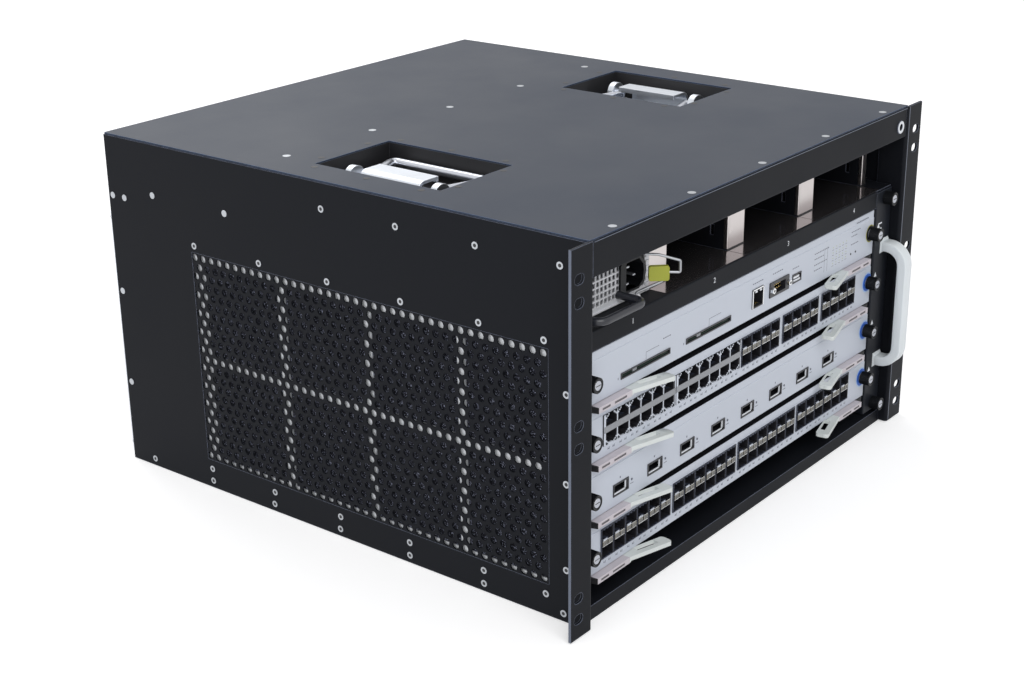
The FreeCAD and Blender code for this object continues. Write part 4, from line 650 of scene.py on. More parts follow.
class CHASSIS_OT_jack_faces(bpy.types.Operator):
    """Adds the shielded faces and the contacts of the telephone-type sockets"""
    bl_idname = "chassis.jack_faces"
    bl_label = "Jack faces"

    def execute(self, context):
        low = card_low(2)
        bm = bmesh.new()
        front = (8.25, 8.45)
        for bank in range(2):
            left = -191.0 + 88.0 * bank
            plate(bm, (left + 0.8, left + 87.2), (8.1, 8.45), (low + 16.85, low + 21.55), 1,
                  0.1 * MM)
            for end in (left + 0.6, left + 86.4):
                plate(bm, (end, end + 1.0), front, (low + 8.1, low + 30.3))
        for x in JACKS:
            for way, rows in ((-1, (low + 16.8, low + 9.9, low + 8.1)),
                              (1, (low + 21.6, low + 28.5, low + 30.3))):
                near, far, end = rows
                plate(bm, (x - 1.5, x - 0.5), front, (near, end))
                for inset, start in ((0.8, far - way * 1.4), (2.2, far - way * 0.2),
                                     (3.4, far + way * 0.8)):
                    plate(bm, (x - 0.5, x + inset), front, (start, end))
                    plate(bm, (x + 11.9 - inset, x + 12.4), front, (start, end))
                for pin in range(8):
                    offset = x + 2.4 + pin * 1.02
                    plate(bm, (offset, offset + 0.45), (10.5, 19.0),
                          (near + way * 1.0, near + way * 1.2), 2)
        finish_piece("jack_faces", bm, "card_2", "card_paint", "face", "strip", "column")
        return {"FINISHED"}


def cage_row(bm, low, columns, wide, pitch):
    """Bright cell walls, springs and latch tabs of a double row of module cages."""
    centre = low + 19.0
    for x in columns:
        plate(bm, (x - (pitch - wide) / 2 - 0.18, x - (pitch - wide) / 2 + 0.18), (8.0, 8.5),
              (low + 7.5, low + 30.5), 3)
        plate(bm, (x + 0.8, x + 5.2), (7.7, 8.3), (centre + 2.6, centre + 3.5), 1)
        for way in (-1, 1):
            near, far = centre + way * 2.0, centre + way * 11.0
            plate(bm, (x - 0.1, x + wide + 0.1), (8.1, 8.5),
                  (far + way * 0.1, far + way * 0.5), 3)
            plate(bm, (x + 0.5, x + wide - 0.5), (8.0, 9.6), (near - way * 0.1, near + way * 0.2))
            for finger in range(3):
                start = x + 1.4 + finger * 3.6
                plate(bm, (start, start + 1.6), (7.9, 9.4), (far - way * 0.5, far + way * 0.1), 3)
            plate(bm, (x + wide / 2 - 1.6, x + wide / 2 + 1.6), (9.0, 12.0),
                  (near + way * 0.1, near + way * 0.9), 3)
        for start in (x + 0.6, x + wide - 5.6):
            plate(bm, (start, start + 5.0), (7.6, 8.4), (centre - 1.7, centre + 1.7), 2, 0.25 * MM)
            for rib in (1.2, 2.4, 3.6):
                plate(bm, (start + rib, start + rib + 0.35), (7.5, 7.7),
                      (centre - 1.2, centre + 1.2), 3)


class CHASSIS_OT_cage_faces(bpy.types.Operator):
    """Adds the bright walls, springs and latch tabs of the module cages"""
    bl_idname = "chassis.cage_faces"
    bl_label = "Cage faces"

    def execute(self, context):
        for name, card, columns, wide, pitch in (("small_cage_faces", 2, SMALL_CAGES, 12.6, 13.9),
                                                 ("wide_cage_faces", 4, WIDE_CAGES, 12.6, 14.35)):
            bm = bmesh.new()
            cage_row(bm, card_low(card), columns, wide, pitch)
            finish_piece(name, bm, f"card_{card}", "zinc", "spring", "face", "amber", "column")
        return {"FINISHED"}


class CHASSIS_OT_large_cages(bpy.types.Operator):
    """Adds the frames of the large module cages and the marks beside them"""
    bl_idname = "chassis.large_cages"
    bl_label = "Large cages"

    def execute(self, context):
        low = card_low(3) + 7.2
        bm = bmesh.new()
        for x in LARGE_CAGES:
            # The dark strips round each cage, wide at the right and bottom, are painted shade in
            # the gap between cage and cut-out.
            for left, right, base, top in ((14.9, 18.4, -0.1, 9.1), (-0.1, 18.4, -0.1, 1.9),
                                           (-0.1, 18.4, 8.7, 9.1), (-0.1, 0.5, -0.1, 9.1)):
                plate(bm, (x + left, x + right), (8.75, 9.4), (low + base, low + top), 3)
            plate(bm, (x + 0.4, x + 14.9), (8.65, 9.4), (low + 1.5, low + 2.3), 0)
            plate(bm, (x + 14.1, x + 14.9), (8.65, 9.4), (low + 1.5, low + 8.8), 0)
            dot(bm, x + 22.4, 8.95, low + 5.5, 0.9, 0.25, 12, 0, 2)
            plate(bm, (x + 20.6, x + 24.6), (8.93, 9.0), (low + 2.3, low + 2.7), 2)
            plate(bm, (x + 8.0, x + 9.0), (8.93, 9.0), (low + 11.6, low + 13.0), 2)
        finish_piece("large_cage_frames", bm, "card_3", "card_paint", "print", "lens", "mark",
                     "port")
        return {"FINISHED"}


def mark_pairs(bm, low, columns, z):
    """Two small triangles and a lamp under each column of sockets."""
    for x in columns:
        for step in (2.4, 8.2):
            dot(bm, x + step + 0.9, 8.97, low + z, 0.95, 0.06, 3)
            plate(bm, (x + step + 2.2, x + step + 2.6), (8.92, 8.98), (low + z - 0.9, low + z + 1))


class CHASSIS_OT_card_marks(bpy.types.Operator):
    """Adds the plain marks and lamps printed on the card fronts"""
    bl_idname = "chassis.card_marks"
    bl_label = "Card marks"

    def execute(self, context):
        for card, columns, height in ((2, JACKS + SMALL_CAGES, 4.2), (4, WIDE_CAGES, 4.0)):
            bm = bmesh.new()
            mark_pairs(bm, card_low(card), columns, height)
            finish_piece(f"card_{card}_marks", bm, f"card_{card}", "card_paint", "mark")
        low = card_low(1)
        bm = bmesh.new()
        for row in range(4):
            for column in range(5):
                x = 122.0 + column * 5.4
                dot(bm, x, 8.97, low + 9.5 + row * 4.4, 0.55, 0.1, 10, 0, 1)
                plate(bm, (x - 1.4, x + 1.4), CARD_PRINT, (low + 7.3 + row * 4.4,
                                                           low + 7.6 + row * 4.4))
        for x, z, wide in ((92, 24.6, 26), (92, 20.2, 18), (92, 15.4, 22), (92, 11.0, 14),
                           (152, 27.0, 16), (152, 23.4, 12), (152, 16.6, 14), (-1, 26.2, 16),
                           (28, 26.2, 18), (58, 22.0, 12), (160, 32.6, 22), (-120, 20.6, 12)):
            for dash in range(int(wide // 2.6)):
                start = x + dash * 2.6
                plate(bm, (start, start + 1.7), CARD_PRINT, (low + z, low + z + 0.75))
        for x in (108.0, 112.6):
            plate(bm, (x, x + 0.25), CARD_PRINT, (low + 6.0, low + 26.0))
        for x in (-170.8, -90.8):
            for span, rise in (((x + 30, x + 30.3), (12.6, 17.8)),
                               ((x + 30, x + 46), (17.6, 17.9)),
                               ((x - 3.2, x - 2.6), (8.0, 9.6))):
                plate(bm, span, CARD_PRINT, (low + rise[0], low + rise[1]))
        for x, z in ((152.0, 9.4), (160.0, 9.4)):
            dot(bm, x, 8.97, low + z, 0.8, 0.3, 14, 0, 2)
        finish_piece("card_1_marks", bm, "card_1", "card_paint", "mark", "lens", "well")
        return {"FINISHED"}


class CHASSIS_OT_gaskets(bpy.types.Operator):
    """Lays dark strips on the cards' upper flanges: painted shade in the gaps between the cards"""
    bl_idname = "chassis.gaskets"
    bl_label = "Gaskets"

    def execute(self, context):
        for card in CARDS:
            top = card_low(card) + CARD_TALL
            bm = bmesh.new()
            plate(bm, (-215.2, 189.6), (9.7, 23.0), (top + 0.02, top + 0.3), 0, 0.1 * MM)
            finish_piece(f"card_{card}_gasket", bm, f"card_{card}", "black_plastic", "gasket")
        return {"FINISHED"}


def clip_washer(bm):
    """Trims a washer at the end of the card's front."""
    cut(bm, at(189.8, 0, 0), (1, 0, 0), clear=True)
    bmesh.ops.holes_fill(bm, edges=[edge for edge in bm.edges if edge.is_boundary])


class CHASSIS_OT_screw_washers(bpy.types.Operator):
    """Adds the coloured washers under the right-hand thumbscrews"""
    bl_idname = "chassis.screw_washers"
    bl_label = "Screw washers"

    def execute(self, context):
        for card in CARDS:
            height = card_low(card) + SCREW_RISE
            bm = bmesh.new()
            outer, inner = ((7.4, 6.6), (8.6, 7.4))[card > 1]
            dot(bm, SCREW_RIGHT, 8.97, height, outer, 0.07, 40, 0, 0)
            dot(bm, SCREW_RIGHT, 8.9, height, inner, 0.3, 40, 0.08 * MM, 1)
            tones = ("olive", "knob") if card == 1 else ("halo", "blue")
            clip_washer(bm)
            finish_piece(f"card_{card}_washer", bm, f"card_{card}", "card_paint", *tones)
        return {"FINISHED"}


class CHASSIS_OT_control_sockets(bpy.types.Operator):
    """Adds the shells and contacts of the control card's sockets"""
    bl_idname = "chassis.control_sockets"
    bl_label = "Control sockets"

    def execute(self, context):
        low = card_low(1)
        bm = bmesh.new()
        for x in (-170.8, -90.8):
            plate(bm, (x + 1.4, x + 58.2), (9.6, 60.0), (low + 8.6, low + 9.2), 3)
            plate(bm, (x + 0.6, x + 59.0), (12.5, 13.0), (low + 8.4, low + 12.6), 3)
            plate(bm, (x + 14.0, x + 19.0), (9.0, 12.0), (low + 8.6, low + 11.2), 6)
            plate(bm, (x + 50.0, x + 56.0), (10.0, 12.0), (low + 8.6, low + 10.8), 1)
        plate(bm, (-1.6, 14.0), (8.0, 8.5), (low + 21.2, low + 22.1), 2, 0.1 * MM)
        for x in (-1.6, 13.1):
            plate(bm, (x, x + 0.9), (8.0, 8.5), (low + 7.3, low + 22.1), 2, 0.1 * MM)
        for pin in range(8):
            x = 2.0 + pin * 1.02
            plate(bm, (x, x + 0.45), (10.5, 19.0), (low + 9.3, low + 9.6), 4)
        for x in (3.2, 9.6):
            plate(bm, (x - 1.2, x + 1.2), (7.9, 8.6), (low + 19.4, low + 20.8), 5)
        for x in (25.6, 49.6):
            dot(bm, x, 8.0, low + 14.6, 2.4, 2.6, 6, 0.2 * MM, 2)
            # A small dark disc on each jackpost: painted shade in its threaded hole.
            dot(bm, x, 5.5, low + 14.6, 1.1, 0.15, 16, 0, 1)
        for row, count in ((0, 5), (1, 4)):
            for pin in range(count):
                x = 37.6 + (pin - (count - 1) / 2) * 2.77
                add_disc(bm, at(x, 10.5, low + 13.2 + row * 2.84), (0, 1, 0), 0.5 * MM, 5 * MM,
                         8, 0, 4)
        plate(bm, (58.4, 70.6), (9.0, 9.7), (low + 11.0, low + 12.6), 5)
        plate(bm, (60.0, 69.0), (9.2, 18.0), (low + 13.6, low + 15.2), 5)
        finish_piece("control_sockets", bm, "card_1", "zinc", "port", "well", "spring", "laminate",
                     "gold", "print", "strip")
        return {"FINISHED"}


def span_faces(bm, x_range, z_range):
    """The forward-facing faces inside a span, after the mesh is cut along its four sides."""
    for x in x_range:
        cut(bm, (x, 0, 0), (1, 0, 0))
    for z in z_range:
        cut(bm, (0, 0, z), (0, 0, 1))
    bm.normal_update()
    middles = [(face, face.calc_center_median()) for face in bm.faces if face.normal.y < -0.99]
    return [face for face, spot in middles
            if min(x_range) < spot.x < max(x_range) and z_range[0] < spot.z < z_range[1]]


def lever_shift(vert, along, pivot_y, middle_z):
    """Moves a point of a lever: the run comes forward and the arm is deeper and thinner."""
    depth = (vert.co.y - pivot_y) / MM
    if along < 4.9 or depth > 3.5:
        return
    if along < 43.6:
        share = (2.9 - depth) / 8.6
        vert.co.y -= 5.3 * MM * min(max(share, 0), 1)
        return
    back = -1.1 - (along - 49.5) * 0.257
    front = -5.7 - (along - 43.5) * 0.269
    share = min(max((back - depth) / (back - front), 0), 1)
    vert.co.y -= (0.9 + 4.2 * share) * MM
    if along > 44 and vert.co.z < middle_z:
        vert.co.z += 1.2 * MM


class CHASSIS_OT_levers(bpy.types.Operator):
    """Shapes the ejector levers: a deep forward run, a bent arm and two recesses"""
    bl_idname = "chassis.levers"
    bl_label = "Levers"

    def execute(self, context):
        heel, bend = 5.0 * MM, 43.5 * MM
        for card in CARDS:
            z = card_low(card) * MM - 2.65 * MM
            for side, x, sign in (("left", -208.5, 1), ("right", 182.5, -1)):
                pivot = at(x, 14.2, 0)
                node = f"card_{card}_lever_{side}"
                bm = node_copy(node)
                for along in (heel - 1.8 * MM, heel, bend, bend + 1.5 * MM):
                    cut(bm, (pivot.x + sign * along, 0, 0), (1, 0, 0))
                for vert in bm.verts:
                    lever_shift(vert, sign * (vert.co.x - pivot.x) / MM, pivot.y, z)
                for start, stop in ((9.0, 18.0), (23.0, 37.0)):
                    ends = sorted((pivot.x + sign * start * MM, pivot.x + sign * stop * MM))
                    faces = span_faces(bm, ends, (z - 0.9 * MM, z + 0.7 * MM))
                    made = bmesh.ops.inset_region(bm, faces=faces, thickness=0.25 * MM,
                                                  depth=-0.6 * MM)
                    # The recesses take a dark grey: painted shade in them.
                    for face in faces + made["faces"]:
                        face.material_index = 3
                for face in bm.faces:
                    along = sign * (face.calc_center_median().x - pivot.x)
                    if face.material_index != 3:
                        face.material_index = 0 if along < heel else 1 if along < bend else 2
                add_disc(bm, pivot + Vector((0, 0, z + 2.1 * MM)), (0, 0, 1), 2.4 * MM,
                         0.25 * MM, 20, 0.08 * MM, 4)
                piece = finish_piece(node + "_arm", bm, node, "handle_paint", "black",
                                     "lever_root", "lever_arm", "recess", "zinc")
                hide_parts(node)
        return {"FINISHED"}


# ---------------------------------------------------------------- power bays and bezel

class CHASSIS_OT_bay_plates(bpy.types.Operator):
    """Adds the bare steel plates on the bay walls and the shelf's bright floor"""
    bl_idname = "chassis.bay_plates"
    bl_label = "Bay plates"

    def execute(self, context):
        bm = bmesh.new()
        for wall in range(4):
            x = -115.5 + 104.0 * wall
            wide = 7.0 if wall == 3 else 23.0
            plate(bm, (x - 0.1, x + wide), (25.75, 26.1), (211.6, 251.3), 0, 0.12 * MM)
            plate(bm, (x - 0.25, x + 1.3), (25.6, 29.0), (211.6, 251.3), 0, 0.35 * MM)
            plate(bm, (x - 0.1, x + wide), (25.4, 26.1), (210.6, 211.5), 1)
            if wall < 3:
                plate(bm, (x + 0.2, x + 103.6), (9.6, 395.0), (210.53, 210.72), 2)
        finish_piece("bay_plates", bm, "chassis", "zinc", "bare", "well", "floor")
        return {"FINISHED"}


def number_piece(text, x, y, z, size):
    """A plain raised number as a mesh."""
    curve = bpy.data.curves.new("number", "FONT")
    curve.body, curve.size, curve.extrude = text, size * MM, 0.02 * MM
    holder = bpy.data.objects.new("number", curve)
    mesh = bpy.data.meshes.new_from_object(holder)
    bpy.data.objects.remove(holder)
    mesh.transform(Matrix.Translation(at(x, y, z)) @ Matrix.Rotation(math.pi / 2, 4, "X"))
    return mesh


class CHASSIS_OT_bay_numbers(bpy.types.Operator):
    """Prints a plain number under each bay"""
    bl_idname = "chassis.bay_numbers"
    bl_label = "Bay numbers"

    def execute(self, context):
        bm = bmesh.new()
        for bay, x in enumerate((-160.0, -58.0, 46.0, 150.0), start=1):
            mesh = number_piece(str(bay), x, 7.94, 202.2, 5.6)
            bm.from_mesh(mesh)
            bpy.data.meshes.remove(mesh)
        finish_piece("bay_numbers", bm, "chassis", "chassis_paint", "print")
        return {"FINISHED"}


class CHASSIS_OT_strap_socket(bpy.types.Operator):
    """Adds the pale ring of the wrist-strap socket"""
    bl_idname = "chassis.strap_socket"
    bl_label = "Strap socket"

    def execute(self, context):
        bm = bmesh.new()
        centre = at(206.3, -1.2, 262.1)
        turn = Matrix.Translation(centre) @ Matrix.Rotation(math.pi / 2, 4, "X")
        ring = bmesh.ops.create_circle(bm, segments=36, radius=2.9 * MM, matrix=turn)["verts"]
        outer = bmesh.ops.create_circle(bm, segments=36, radius=5.0 * MM, matrix=turn)["verts"]
        faces = bmesh.ops.bridge_loops(bm, edges=linked(ring + outer, "link_edges"))["faces"]
        raised = bmesh.ops.extrude_face_region(bm, geom=faces)["geom"]
        bmesh.ops.translate(bm, vec=(0, -0.35 * MM, 0), verts=verts_of(raised))
        finish_piece("strap_socket_ring", bm, "chassis", "zinc", "print")
        return {"FINISHED"}


def skin(bm, rings):
    """Joins rings of the same count of points in turn and closes both ends."""
    loops = [[bm.verts.new(at(x, y, z)) for x, z in points] for points, y in rings]
    for near, far in zip(loops, loops[1:]):
        for i, vert in enumerate(near):
            j = (i + 1) % len(near)
            bm.faces.new((vert, near[j], far[j], far[i]))
    bm.faces.new(loops[0])
    bm.faces.new(loops[-1])


class CHASSIS_OT_inlet(bpy.types.Operator):
    """Shapes the power inlet: a flange with cut corners, a deep well and three flat pins"""
    bl_idname = "chassis.inlet"
    bl_label = "Inlet"

    def execute(self, context):
        outer = [(-152, 218), (-150, 216.1), (-130, 216.1), (-123.5, 219.5), (-121.5, 227),
                 (-122.6, 233.5), (-129, 239.2), (-150, 239.2), (-152, 237.2)]
        inner = [(-145.6, 218.4), (-144.8, 217.6), (-130.6, 217.6), (-125.6, 220.6),
                 (-124.4, 227), (-125.4, 232.6), (-130.4, 237.7), (-144.8, 237.7),
                 (-145.6, 236.9)]
        middle = [(max(-149.2, x * 1.01 + 1), z) for x, z in inner]
        bm = bmesh.new()
        skin(bm, [(inner, 40.8), (inner, 22.8), (outer, 22.8), (outer, 24.35), (middle, 24.35),
                  (middle, 46.8)])
        sharp = [edge for edge in bm.edges if edge.calc_face_angle(0) > 1.2]
        bmesh.ops.bevel(bm, geom=sharp, offset=0.35 * MM, segments=2, profile=0.5,
                        affect="EDGES", material=-1, clamp_overlap=True)
        for x, z in ((-138.5, 232.6), (-138.9, 220.6), (-131.0, 225.4)):
            plate(bm, (x - 1.5, x + 1.5), (26.2, 41.0), (z - 0.7, z + 0.7), 1, 0.2 * MM)
        piece = finish_piece("power_inlet", bm, "power_supply", "black_plastic", "knob",
                             "fastener")
        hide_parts("psu_inlet")
        return {"FINISHED"}


class CHASSIS_OT_supply_pull(bpy.types.Operator):
    """Rounds the supply's pull and sets its right leg by the inlet"""
    bl_idname = "chassis.supply_pull"
    bl_label = "Supply pull"

    def execute(self, context):
        pull = rounded_copy("psu_handle", "supply_pull", "power_supply", "black_plastic",
                            "pull_black", 0.3 * MM, angle=1.2)
        for vert in pull.data.vertices:
            if vert.co.x > at(-170.0, 0, 0).x:
                vert.co.x += 3.5 * MM
        return {"FINISHED"}


class CHASSIS_OT_supply_details(bpy.types.Operator):
    """Adds the case's lip, the teeth at its right edge and its screws"""
    bl_idname = "chassis.supply_details"
    bl_label = "Supply details"

    def execute(self, context):
        bm = bmesh.new()
        plate(bm, (-216.0, -116.6), (23.3, 24.4), (211.0, 212.2), 2, 0.2 * MM)
        for tooth in range(9):
            z = 215.0 + tooth * 4.0
            plate(bm, (-120.6, -117.0), (23.7, 24.4), (z, z + 2.0), 2, 0.15 * MM)
        for x, z in ((-211.0, 247.0), (-119.5, 248.6), (-211.0, 214.0)):
            dot(bm, x, 24.4, z, 2.6, 0.9, 24, 0.3 * MM, 0)
            # A dark cross on each screw: painted shade in its cross recess.
            plate(bm, (x - 1.6, x + 1.6), (23.42, 23.6), (z - 0.3, z + 0.3), 1)
            plate(bm, (x - 0.3, x + 0.3), (23.42, 23.6), (z - 1.6, z + 1.6), 1)
        finish_piece("supply_details", bm, "power_supply", "zinc", "spring", "well", "grid")
        return {"FINISHED"}


# ---------------------------------------------------------------- pull, handles and fasteners

def rounded_copy(node, name, body, slot, finish, offset, segments=3, angle=0.6):
    """A copy of a CAD node's mesh with its edges rounded, standing for the node."""
    bm = node_copy(node)
    sharp = [edge for edge in bm.edges if edge.is_manifold and edge.calc_face_angle(0) > angle]
    bmesh.ops.bevel(bm, geom=sharp, offset=offset, segments=segments, profile=0.5,
                    affect="EDGES", material=-1, clamp_overlap=True)
    piece = finish_piece(name, bm, body, slot, finish, smooth=0.7)
    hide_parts(node)
    return piece


class CHASSIS_OT_fan_pull(bpy.types.Operator):
    """Rounds the fan tray's pull, and adds its two feet and the tray's plain marks"""
    bl_idname = "chassis.fan_pull"
    bl_label = "Fan pull"

    def execute(self, context):
        rounded_copy("fan_handle", "fan_pull", "fan_tray", "handle_paint", "pull", 0.9 * MM)
        bm = bmesh.new()
        for z in (59.9, 161.0):
            foot = plate(bm, (201.6, 214.8), (6.6, 7.95), (z - 6.2, z + 6.2))
            front = [v for v in foot if v.co.y < at(0, 7, 0).y]
            bmesh.ops.scale(bm, vec=(0.93, 1, 0.72), verts=front,
                            space=Matrix.Translation(-at(208.2, 0, z)))
        finish_piece("fan_pull_feet", bm, "fan_tray", "handle_paint", "pull")
        bm = bmesh.new()
        for z in (186.6, 144.4, 102.2, 60.0):
            dot(bm, 196.6, 7.98, z - 7.0, 2.8, 0.06, 3)
        for x, z in ((196.4, 181.0), (196.4, 176.4)):
            plate(bm, (x, x + 6.0), (7.93, 8.0), (z, z + 1.2))
        finish_piece("fan_tray_marks", bm, "fan_tray", "tray_paint", "print")
        return {"FINISHED"}


def ring_spots():
    """The hollow fasteners of a side panel."""
    spots = [(y, 256.8) for y in (22.7, 92.3, 162.2, 232.1)]
    spots += [(y, 203.1) for y in (35.8, 90.5, 160, 230, 299.3, 369)]
    spots += [(17.6, z) for z in (169.1, 104.6, 40.3)]
    spots += [(y, 16.6) for y in (35, 89.9, 159.3, 228.2, 297.8, 368.2)]
    spots += [(y, 6.2) for y in (20, 89.9, 159.5, 229, 298.9, 368.2, 437.9)]
    return spots


class CHASSIS_OT_fasteners(bpy.types.Operator):
    """Adds the rivets' dark bores, the handle screws and the domes round the handle wells"""
    bl_idname = "chassis.fasteners"
    bl_label = "Fasteners"

    def execute(self, context):
        bm = bmesh.new()
        # The bores are flat dark discs: painted shade in the rivets' holes.
        for way in (-1, 1):
            for y, z in ring_spots():
                spot = at(way * 220.35, y, z)
                add_disc(bm, spot, (way, 0, 0), 1.35 * MM, 0.08 * MM, 14)
        finish_piece("rivet_bores", bm, "chassis", "dark_steel", "well")
        bm = bmesh.new()
        for way in (-1, 1):
            for dy in (-28, 28):
                for dx in (-14, 18):
                    spot = at(way * (166 - dx), 209 + dy + (14 if dy > 0 else -14), 255.8)
                    add_disc(bm, spot, (0, 0, 1), 3.0 * MM, 1.3 * MM, 24, 0.4 * MM)
                    # A small dark hexagon on each screw head: painted shade in its socket.
                    add_disc(bm, spot + Vector((0, 0, 1.3 * MM)), (0, 0, 1), 1.3 * MM, 0.05 * MM,
                             6, 0, 1)
        finish_piece("handle_screws", bm, "chassis", "zinc", "zinc", "well")
        bm = bmesh.new()
        for way in (-1, 1):
            x, y = way * 150.0, 209.0
            spots = [(x + dx, y + dy) for dx in (-46.5, 46.5) for dy in (-50.7, 0, 50.7)]
            spots += [(x + dx, y + dy) for dx in (-25.0, 25.0) for dy in (-65.5, 64.5)]
            for spot_x, spot_y in spots:
                bmesh.ops.create_uvsphere(
                    bm, u_segments=16, v_segments=6, radius=2.6 * MM,
                    matrix=Matrix.Translation(at(spot_x, spot_y, 277.4))
                    @ Matrix.Diagonal((1, 1, 0.03, 1)))
        finish_piece("well_rivet_domes", bm, "chassis", "dark_steel", "well")
        return {"FINISHED"}


class CHASSIS_OT_edge_lines(bpy.types.Operator):
    """Adds painted highlights on the bends: thin bright lines on the strips and the ears"""
    bl_idname = "chassis.edge_lines"
    bl_label = "Edge lines"

    def execute(self, context):
        bm = bmesh.new()
        for name in ("front_bezel", "psu_shelf"):
            low, high = (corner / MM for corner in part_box(name))
            front = low.y - FRONT / MM
            plate(bm, (low.x + 0.5, high.x - 0.5), (front - 0.06, front + 0.1),
                  (high.z - 0.7, high.z - 0.2), 0, 0.05 * MM)
        low, high = (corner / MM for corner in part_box("rack_ear_right"))
        front = low.y - FRONT / MM
        plate(bm, (219.6, 220.5), (front - 0.06, front + 0.1), (low.z + 0.5, high.z - 0.5), 0,
              0.05 * MM)
        finish_piece("edge_lines", bm, "chassis", "chassis_paint", "edge_paint")
        for name in ("rack_ear_left", "rack_ear_right"):
            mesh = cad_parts[name].data
            mesh.materials.append(FINISH["edge_paint"])
            # The ears' outer edge faces take the painted highlight colour.
            for face in mesh.polygons:
                if abs(face.center.x) > EAR_OUTER_EDGE:
                    face.material_index = 1
        return {"FINISHED"}


# ---------------------------------------------------------------- stage

class CHASSIS_OT_stage(bpy.types.Operator):
    """Adds the floor, the lights and the camera"""
    bl_idname = "chassis.stage"
    bl_label = "Stage"

    def execute(self, context):
        scene = context.scene
        floor_mesh = bpy.data.meshes.new("floor")
        bm = bmesh.new()
        bmesh.ops.create_grid(bm, x_segments=1, y_segments=1, size=6.0)
        bmesh.ops.translate(bm, vec=(0, 0, -0.0005), verts=bm.verts)
        bm.to_mesh(floor_mesh)
        bm.free()
        floor = bpy.data.objects.new("floor", floor_mesh)
        scene.collection.objects.link(floor)
        floor_mesh.materials.append(floor_finish())
        add_world(scene)
        add_light(scene, "key", (-1.6, -2.4, 2.6), 2.4, 62.0)
        add_light(scene, "side", (-3.2, 0.3, 1.2), 2.0, 26.0)
        add_light(scene, "back", (1.2, 2.6, 2.6), 2.2, 40.0)
        add_camera(scene)
        return {"FINISHED"}


def floor_finish():
    """A pale floor that the camera, metal and glass see as white with the object's shadow."""
    material = bpy.data.materials.new("pale_floor")
    material.use_nodes = True
    tree = material.node_tree
    shader = tree.nodes["Principled BSDF"]
    shader.inputs["Base Color"].default_value = (0.86, 0.86, 0.87, 1)
    shader.inputs["Roughness"].default_value = 0.8
    glow = tree.nodes.new("ShaderNodeEmission")
    glow.inputs["Strength"].default_value = 0.42
    path = tree.nodes.new("ShaderNodeLightPath")
    seen = math_node(tree, "MAXIMUM", path.outputs["Is Camera Ray"], path.outputs["Is Glossy Ray"])
    seen = math_node(tree, "MAXIMUM", seen, path.outputs["Is Transmission Ray"])
    tree.links.new(math_node(tree, "MULTIPLY", seen, 0.42), glow.inputs["Strength"])
    both = tree.nodes.new("ShaderNodeAddShader")
    tree.links.new(shader.outputs[0], both.inputs[0])
    tree.links.new(glow.outputs[0], both.inputs[1])
    tree.links.new(both.outputs[0], tree.nodes["Material Output"].inputs["Surface"])
    return material


def add_world(scene):
    world = bpy.data.worlds.new("studio")
    scene.world = world
    world.use_nodes = True
    tree = world.node_tree
    background = tree.nodes["Background"]
    path = tree.nodes.new("ShaderNodeLightPath")
    seen = math_node(tree, "MAXIMUM", path.outputs["Is Camera Ray"], path.outputs["Is Glossy Ray"])
    seen = math_node(tree, "MAXIMUM", seen, path.outputs["Is Transmission Ray"])
    strength = math_node(tree, "MULTIPLY_ADD", seen, 0.55)
    strength.node.inputs[2].default_value = 0.45
    background.inputs["Color"].default_value = (1, 1, 1, 1)
    tree.links.new(strength, background.inputs["Strength"])


def add_light(scene, name, spot, size, power):
    lamp = bpy.data.lights.new(name, "AREA")
    lamp.shape, lamp.size, lamp.energy = "SQUARE", size, power
    light = bpy.data.objects.new(name, lamp)
    light.location = spot
    aim = Vector((0, 0, 0.12)) - Vector(spot)
    light.rotation_euler = aim.to_track_quat("-Z", "Y").to_euler()
    scene.collection.objects.link(light)


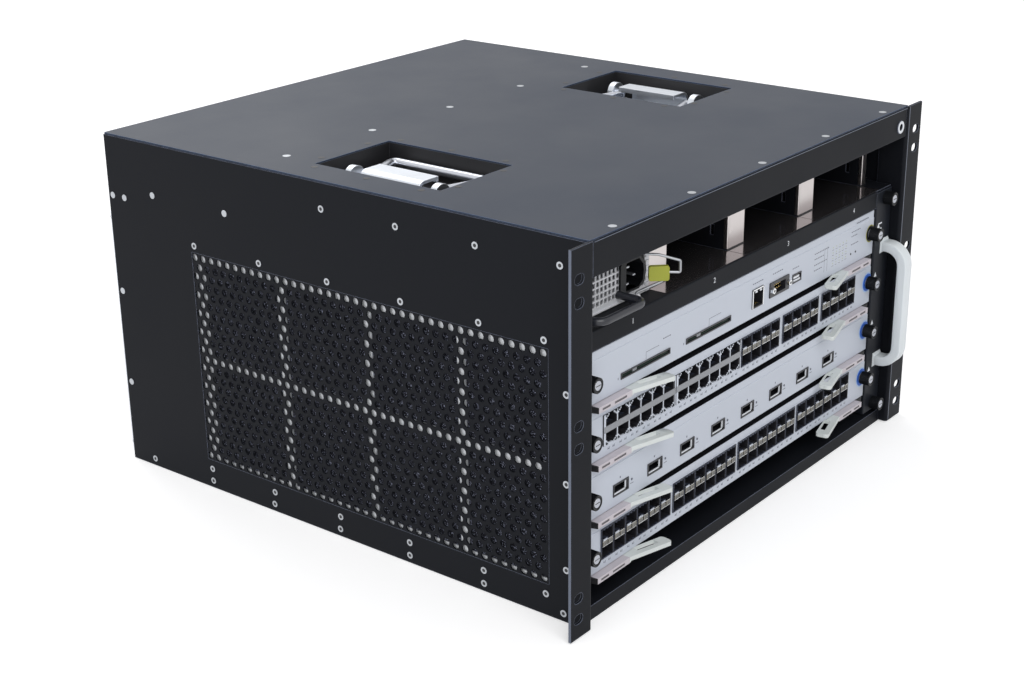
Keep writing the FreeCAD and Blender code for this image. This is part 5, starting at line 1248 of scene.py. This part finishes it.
def add_camera(scene):
    lens = bpy.data.cameras.new("view")
    lens.lens, lens.sensor_width = 61.13, 36.0
    camera = bpy.data.objects.new("view", lens)
    camera.location = at(-1057.0, -601.2, 610.3)
    turn, tilt = math.radians(51.6), math.radians(21.2)
    ahead = Vector((math.sin(turn) * math.cos(tilt), math.cos(turn) * math.cos(tilt),
                    -math.sin(tilt)))
    roll = Matrix.Rotation(math.radians(CAMERA_ROLL), 3, "Z")
    camera.rotation_euler = (ahead.to_track_quat("-Z", "Y").to_matrix() @ roll).to_euler()
    scene.collection.objects.link(camera)
    scene.camera = camera
    scene.view_settings.view_transform = "Standard"


# ---------------------------------------------------------------- panel and running order

OPERATORS = (CHASSIS_OT_finishes, CHASSIS_OT_air_fields, CHASSIS_OT_filter_grid,
             CHASSIS_OT_thumbscrews, CHASSIS_OT_jack_faces, CHASSIS_OT_cage_faces,
             CHASSIS_OT_large_cages, CHASSIS_OT_card_marks, CHASSIS_OT_gaskets,
             CHASSIS_OT_screw_washers, CHASSIS_OT_control_sockets, CHASSIS_OT_levers,
             CHASSIS_OT_bay_plates, CHASSIS_OT_bay_numbers, CHASSIS_OT_strap_socket,
             CHASSIS_OT_inlet, CHASSIS_OT_supply_pull, CHASSIS_OT_supply_details,
             CHASSIS_OT_fan_pull, CHASSIS_OT_fasteners, CHASSIS_OT_edge_lines, CHASSIS_OT_stage)


class CHASSIS_PT_panel(bpy.types.Panel):
    """Lists the chassis's pieces"""
    bl_label = "Modular chassis switch"
    bl_idname = "CHASSIS_PT_panel"
    bl_space_type = "VIEW_3D"
    bl_region_type = "UI"
    bl_category = "Chassis"

    def draw(self, context):
        for group in (context.scene.chassis_finish, context.scene.chassis_sizes):
            for name in group.__annotations__:
                self.layout.prop(group, name)
        for operator in OPERATORS:
            self.layout.operator(operator.bl_idname)


CLASSES = (ChassisFinish, ChassisSizes) + OPERATORS + (CHASSIS_PT_panel,)


def register():
    for cls in CLASSES:
        bpy.utils.register_class(cls)
    bpy.types.Scene.chassis_finish = bpy.props.PointerProperty(type=ChassisFinish)
    bpy.types.Scene.chassis_sizes = bpy.props.PointerProperty(type=ChassisSizes)


def unregister():
    del bpy.types.Scene.chassis_finish
    del bpy.types.Scene.chassis_sizes
    for cls in reversed(CLASSES):
        bpy.utils.unregister_class(cls)


def main():
    register()
    for operator in OPERATORS:
        group, name = operator.bl_idname.split(".")
        getattr(getattr(bpy.ops, group), name)()


if __name__ == "__main__":
    main()
